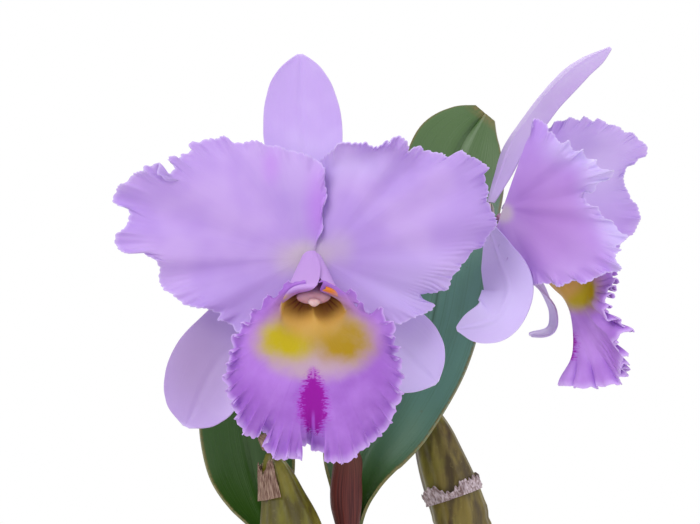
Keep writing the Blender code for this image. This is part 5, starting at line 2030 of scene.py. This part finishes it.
@dataclass
class Growth:
    """The pseudobulbs, leaves, sheaths, rhizome and flower stems."""

    leaf_grid: Grid = (44, 130)
    leaf_thickness: float = 1.5
    bulb_grid: Grid = (90, 110)
    stem_grid: Grid = (28, 60)
    spathe_grid: Grid = (60, 60)
    spathe_thickness: float = 0.8
    paper_grid: Grid = (120, 24)
    foot_grid: Grid = (90, 22)
    paper_thickness: float = 0.35
    stub_grid: Grid = (28, 20)
    rhizome_grid: Grid = (32, 90)
    root_grid: Grid = (16, 40)
    root_radius: float = 1.7

    def build(self, make: Modeller) -> None:
        """Makes and dresses every piece between the bark and the blooms.

        Args:
            make: The modeller.
        """
        leaf = LeafFinish().material("leaf_big")
        for name, blade, paint in (
            ("leaf_big", BIG_LEAF, leaf),
            ("leaf_left", LEFT_LEAF, LeafFinish(middle=(50, 90, 26), tip=(56, 96, 34)).material("leaf_left")),
        ):
            obj = make.sheet(f"{name}_blade", blade.surface, self.leaf_grid, self.leaf_thickness, ease=1.0)
            make.dress(obj, paint, Slot.LEAF, name)
        olive = BulbFinish().material("bulb_olive")
        brown = BulbFinish(skin=(128, 112, 46), shade=(74, 58, 22)).material("bulb_brown")
        for name, limb in BULB_SHAPES.items():
            obj = make.limb(f"bulb_{name}", limb, self.bulb_grid)
            make.dress(obj, brown if name == "right" else olive, Slot.PSEUDOBULB, f"pseudobulb_{name}")
        green = stem_material("flower_stem", (150, 164, 92), (132, 152, 84))
        pale = stem_material("pedicel", (196, 184, 176), (150, 166, 98))
        for name, limb in STEMS.items():
            obj = make.limb(f"{name}_stem", limb, self.stem_grid)
            make.dress(obj, green if name == "peduncle" else pale, Slot.STEM, name)
        grid, thickness = self.spathe_grid, self.spathe_thickness
        spathe = make.sheet("spathe_bract", FLOWER_SPATHE.surface, grid, thickness, ease=1.0)
        make.dress(spathe, spathe_material("spathe"), Slot.SPATHE, "spathe")
        self.add_sheaths(make)
        self.add_rhizome(make)

    def add_sheaths(self, make: Modeller) -> None:
        """Makes the dry sheaths and the stub of a fallen leaf.

        Args:
            make: The modeller.
        """
        paper = PaperFinish().material("dry_sheath")
        pale = PaperFinish(dark=(150, 128, 128), light=(222, 206, 214)).material("node_remnant")
        bulbs = BULB_SHAPES
        wraps = {
            "dried_sheath": (Wrap(bulbs["left"], 0.74, 0.93, 110.0, 160.0, 0.45), paper),
            "node_remnant": (Wrap(bulbs["right"], 0.63, 0.68, -165.0, 290.0, 0.7, seed=121), pale),
        }
        for name, (wrap, paint) in wraps.items():
            obj = make.sheet(f"{name}_paper", wrap.surface, self.paper_grid, self.paper_thickness, ease=1.0)
            make.dress(obj, paint, Slot.DRY_SHEATH, name)
        stub = make.limb("leaf_stub_scar", STUB, self.stub_grid)
        make.dress(stub, paper, Slot.DRY_SHEATH, "leaf_stub")
        for index, (name, limb) in enumerate(bulbs.items()):
            wrap = Wrap(limb, 0.02, 0.2, 40.0 * index, 330.0, 0.5, lift=0.7, flare=2.0, seed=131 + 7 * index)
            grid, thickness = self.foot_grid, self.paper_thickness
            obj = make.sheet(f"foot_sheath_{name}", wrap.surface, grid, thickness, ease=1.0)
            make.dress(obj, paper, Slot.DRY_SHEATH)

    def add_rhizome(self, make: Modeller) -> None:
        """Makes the creeping rhizome and its roots as one piece.

        Args:
            make: The modeller.
        """
        roots = []
        for index, (start, heading) in enumerate(zip(ROOT_STARTS, ROOT_HEADINGS)):
            turn = math.radians(heading)
            ahead = (math.cos(turn), math.sin(turn))
            places = [(start[0] + ahead[0] * run, start[1] + ahead[1] * run) for run, _ in ROOT_ARCH]
            route = tuple((x, y, height) for (x, y), (_, height) in zip(places, ROOT_ARCH))
            radii = ((0.0, self.root_radius), (1.0, self.root_radius))
            limb = Limb(route, radii, end_share=0.08, lumps=0.12, seed=151 + index)
            roots.append(make.limb(f"root_{index}", limb, self.root_grid))
        rhizome = make.limb("rhizome_and_roots", RHIZOME, self.rhizome_grid)
        for root in roots:
            root.select_set(True)
        bpy.ops.object.join()
        make.dress(rhizome, root_material("root"), Slot.ROOT, "rhizome_with_roots")


@dataclass
class PottedBed:
    """The clay pot and the bark in it."""

    height: float = 112.0
    rim_radius: float = 72.0
    wall: float = 6.0
    band: float = 24.0
    base_radius: float = 47.0
    floor: float = 8.0
    drain_radius: float = 6.0
    drain_ring: float = 26.0
    drains: int = 4
    bevel: float = 0.9
    bevel_from: float = 24.0
    pot_crease: float = 40.0
    level: float = 94.0
    bed_depth: float = 16.0
    bed_gap: float = 0.8
    steps: int = 96
    chips: int = 170
    chip_least: Point = (11.0, 7.0, 3.2)
    chip_most: Point = (21.0, 13.0, 7.0)
    chip_skew: float = 0.35
    chip_grit: float = 0.9
    chip_tilt: float = 0.4
    chip_crease: float = 25.0
    seed: int = 7

    def inner_radius(self, height: float) -> float:
        """The radius of the pot's inner wall at this height."""
        share = (height - self.floor) / (self.height - self.floor)
        low, high = self.base_radius - self.wall, self.rim_radius - 1.3 * self.wall
        return low + (high - low) * share

    def build(self, make: Modeller) -> None:
        """Makes and dresses the pot and the bark.

        Args:
            make: The modeller.
        """
        make.dress(self.add_pot(make), clay_material("terracotta"), Slot.TERRACOTTA, "pot")
        mould = bark_material("bark_bed", (40, 28, 20), (92, 64, 44))
        make.dress(self.add_bed(make), mould, Slot.BARK, "bark_medium")
        chips = self.add_chips(make)
        make.dress(chips, bark_material("bark_chips", (62, 40, 28), (140, 98, 66)), Slot.BARK)

    def add_pot(self, make: Modeller) -> Piece:
        """Turns the pot's wall round its axis and drills its drains.

        Args:
            make: The modeller.

        Returns:
            The pot.
        """
        foot = self.height - self.band
        profile = (
            (0.0, self.floor),
            (self.inner_radius(self.floor), self.floor),
            (self.inner_radius(self.height - 1.5), self.height - 1.5),
            (self.inner_radius(self.height) + 1.5, self.height),
            (self.rim_radius - 2.0, self.height),
            (self.rim_radius, self.height - 2.5),
            (self.rim_radius - 0.8, foot + 3.0),
            (self.rim_radius - 1.5, foot),
            (self.inner_radius(foot) + self.wall, foot - 1.5),
            (self.base_radius, 2.0),
            (self.base_radius - 2.0, 0.0),
            (0.0, 0.0),
        )
        mesh = bpy.data.meshes.new("clay_pot")
        edges = [(i, i + 1) for i in range(len(profile) - 1)]
        mesh.from_pydata([(x * MM, 0.0, z * MM) for x, z in profile], edges, [])
        obj = bpy.data.objects.new("clay_pot", mesh)
        bpy.context.scene.collection.objects.link(obj)
        make.choose(obj)
        bpy.ops.object.mode_set(mode="EDIT")
        bpy.ops.mesh.select_all(action="SELECT")
        bpy.ops.mesh.spin(steps=self.steps, angle=math.tau, center=(0.0, 0.0, 0.0), axis=(0.0, 0.0, 1.0))
        bpy.ops.mesh.select_all(action="SELECT")
        bpy.ops.mesh.remove_doubles(threshold=1e-5)
        bpy.ops.mesh.normals_make_consistent(inside=False)
        bpy.ops.object.mode_set(mode="OBJECT")
        for index in range(self.drains):
            self.drill(make, obj, math.tau * (index + 0.5) / self.drains)
        width, limit = self.bevel * MM, math.radians(self.bevel_from)
        make.modify(obj, "BEVEL", width=width, segments=3, limit_method="ANGLE", angle_limit=limit)
        bpy.ops.object.shade_smooth_by_angle(angle=math.radians(self.pot_crease))
        return obj

    def drill(self, make: Modeller, pot: Piece, turn: float) -> None:
        """Cuts one drain through the pot's floor at this angle.

        Args:
            make: The modeller.
            pot: The pot.
            turn: The angle, in radians.
        """
        make.clear()
        ring, radius, depth = self.drain_ring * MM, self.drain_radius * MM, 4 * self.floor * MM
        at = (ring * math.cos(turn), ring * math.sin(turn), 0.0)
        bpy.ops.mesh.primitive_cylinder_add(vertices=32, radius=radius, depth=depth, location=at)
        drain = bpy.context.active_object
        make.choose(pot)
        make.modify(pot, "BOOLEAN", operation="DIFFERENCE", object=drain)
        bpy.data.objects.remove(drain, do_unlink=True)

    def add_bed(self, make: Modeller) -> Piece:
        """Makes the crumbly bed that the chips lie on.

        Args:
            make: The modeller.

        Returns:
            The bed.
        """
        make.clear()
        bpy.ops.mesh.primitive_uv_sphere_add(segments=96, ring_count=64, radius=1.0)
        obj = make.named("bark_bed")
        ball = make.points(obj) * MM
        radius = np.hypot(ball[:, 0], ball[:, 1])
        turn = np.arctan2(ball[:, 1], ball[:, 0])
        top = ball[:, 2] > 0
        foot = self.level - self.bed_depth
        reach = np.where(top, self.inner_radius(self.level), self.inner_radius(foot)) - self.bed_gap
        even = smooth_step(radius * 1.35) * 0.3 + radius * 0.7
        crumb = 1.6 * drift(radius * 11 + 7 * np.cos(turn), 5)
        crumb = crumb + 1.4 * drift(8 * np.sin(turn) + 13 * radius * np.cos(turn), 6)
        z = np.where(top, self.level - 1.5 + crumb * radius**0.5 * (1 - radius**6), foot)
        z = np.where(radius > 0.995, self.level - 8, z)
        make.place_points(obj, np.column_stack([even * reach * np.cos(turn), even * reach * np.sin(turn), z]))
        bpy.ops.object.shade_smooth()
        return obj

    def add_chips(self, make: Modeller) -> Piece:
        """Scatters bark chips, each with its own broken shape.

        Args:
            make: The modeller.

        Returns:
            All the chips as one piece.
        """
        draw = np.random.default_rng(self.seed)
        make.clear()
        bpy.ops.mesh.primitive_cube_add(size=1.0)
        bpy.ops.object.mode_set(mode="EDIT")
        bpy.ops.mesh.subdivide(number_cuts=2)
        bpy.ops.object.mode_set(mode="OBJECT")
        pattern = make.named("bark_chips")
        block = make.points(pattern) * MM
        chips = []
        for index in range(self.chips):
            chip = pattern if index == 0 else pattern.copy()
            if index:
                chip.data = pattern.data.copy()
                bpy.context.scene.collection.objects.link(chip)
            size = draw.uniform(self.chip_least, self.chip_most)
            skew = self.chip_skew * draw.uniform(-1.0, 1.0, 3)
            corners = block * (1 + skew * np.roll(block, 1, axis=1)) * size
            corners += draw.uniform(-self.chip_grit, self.chip_grit, corners.shape)
            turns = [draw.uniform(0, math.tau)]
            turns += [draw.uniform(-self.chip_tilt, self.chip_tilt) for _ in range(2)]
            c, s = np.cos(turns), np.sin(turns)
            around = np.array([[c[0], -s[0], 0], [s[0], c[0], 0], [0, 0, 1]])
            pitch = np.array([[1, 0, 0], [0, c[1], -s[1]], [0, s[1], c[1]]])
            yaw = np.array([[c[2], 0, s[2]], [0, 1, 0], [-s[2], 0, c[2]]])
            out = (self.inner_radius(self.level) - 9.0) * math.sqrt((index + 0.5) / self.chips)
            spiral = index * math.radians(GOLDEN_ANGLE)
            at = (out * math.cos(spiral), out * math.sin(spiral), self.level + 1.5 + draw.uniform(-1.5, 4.5))
            placed = corners @ (around @ pitch @ yaw).T + at
            wide = np.hypot(placed[:, 0], placed[:, 1])
            limit = self.inner_radius(self.level) - 0.6
            placed[:, :2] *= np.minimum(1.0, limit / np.maximum(wide, TINY))[:, None]
            chips.append((chip, placed))
        for chip, placed in chips:
            make.place_points(chip, placed)
            chip.select_set(True)
        bpy.context.view_layer.objects.active = pattern
        bpy.ops.object.join()
        bpy.ops.object.shade_smooth_by_angle(angle=math.radians(self.chip_crease))
        return pattern


@dataclass
class Studio:
    """The floor, the soft light and the camera."""

    floor_radius: float = 1.75
    sky: float = 0.62

    def build(self, make: Modeller) -> None:
        """Sets the pale floor, the lights and the camera.

        Args:
            make: The modeller.
        """
        make.clear()
        bpy.ops.mesh.primitive_circle_add(vertices=96, radius=self.floor_radius, fill_type="NGON")
        floor = make.named("floor")
        paint = Paint("pale_floor", 0.9)
        grain = paint.noise(paint.place, 3.0, 2.0)
        paint.ground(grain, (240, 240, 240), (246, 246, 246))
        floor.data.materials.append(paint.finish())
        world = bpy.data.worlds.new("studio")
        bpy.context.scene.world = world
        world.use_nodes = True
        tree = world.node_tree
        shine = tree.nodes["Background"]
        shine.inputs["Strength"].default_value = self.sky
        backdrop = tree.nodes.new("ShaderNodeBackground")
        backdrop.inputs["Strength"].default_value = 1.0
        for node in (shine, backdrop):
            node.inputs["Color"].default_value = (1.0, 1.0, 1.0, 1.0)
        path = tree.nodes.new("ShaderNodeLightPath")
        either = tree.nodes.new("ShaderNodeMixShader")
        tree.links.new(path.outputs["Is Camera Ray"], either.inputs[0])
        tree.links.new(shine.outputs[0], either.inputs[1])
        tree.links.new(backdrop.outputs[0], either.inputs[2])
        tree.links.new(either.outputs[0], tree.nodes["World Output"].inputs["Surface"])
        self.add_light("key", (-0.7, -1.1, 1.35), (48.0, 0.0, -32.0), 1.0, 13.0)
        self.add_light("fill", (1.2, -0.6, 0.7), (72.0, 0.0, 62.0), 1.2, 4.0)
        self.add_light("back", (0.2, 1.2, 1.2), (-50.0, 0.0, 0.0), 1.2, 8.0)
        view = bpy.context.scene.view_settings
        view.view_transform = "Standard"
        view.look = "None"
        self.add_camera()

    def add_light(self, name: str, at: Point, turned: Point, size: float, power: float) -> None:
        """Adds one large soft lamp.

        Args:
            name: Its name.
            at: Its place, in metres.
            turned: Its rotation, in degrees.
            size: The side of its square, in metres.
            power: In watts.
        """
        lamp = bpy.data.lights.new(name, "AREA")
        lamp.energy = power
        lamp.size = size
        obj = bpy.data.objects.new(name, lamp)
        obj.location = at
        obj.rotation_euler = [math.radians(angle) for angle in turned]
        bpy.context.scene.collection.objects.link(obj)

    def add_camera(self) -> None:
        """Sets the camera at the photographer's place."""
        lens = bpy.data.cameras.new("camera")
        lens.lens = CAMERA_LENS
        lens.sensor_width = CAMERA_SENSOR
        lens.clip_end = CAMERA_REACH
        camera = bpy.data.objects.new("camera", lens)
        camera.location = [value * MM for value in CAMERA_AT]
        camera.rotation_euler = (math.pi / 2, 0.0, 0.0)
        bpy.context.scene.collection.objects.link(camera)
        bpy.context.scene.camera = camera


def make_paints() -> dict[str, Material]:
    """Makes the blooms' materials.

    Returns:
        Materials by name.
    """
    sepal = PetalFinish(light=(212, 192, 246), deep=(198, 172, 236), vein=(184, 156, 222))
    return {
        "petal_front": PetalFinish().material("petal_front"),
        "sepal_front": sepal.material("sepal_front"),
        "petal_side": PetalFinish(light=(200, 168, 240), deep=(184, 146, 230)).material("petal_side"),
        "sepal_side": sepal.material("sepal_side"),
        "lip_front": LipFinish().material("lip_front"),
        "lip_side": LipFinish(
            left_eye=(-10.0, -33.0), right_eye=(10.0, -33.0), halo=(0.0, -32.0), halo_size=(16.0, 9.0),
            blaze_middle=0.0, blaze_top=-50.0, blaze_broad=-58.0, blaze_foot=-63.0, blaze_half=1.6,
            throat=(0.0, -26.0), throat_size=(9.0, 7.0), dark=(170, 118, 210), light=(196, 150, 234),
        ).material("lip_side"),
        "column": column_material("column"),
        "anther": anther_material("anther"),
    }


def main() -> None:
    """Builds the scene."""
    logging.basicConfig(level=logging.INFO, format="%(message)s")
    make = Modeller()
    Studio().build(make)
    paints = make_paints()
    Bloom("front", FRONT_PLACE, FRONT_SHAPES).build(make, paints)
    Bloom("side", SIDE_PLACE, SIDE_SHAPES).build(make, paints)
    Growth().build(make)
    PottedBed().build(make)


if __name__ == "__main__":
    main()
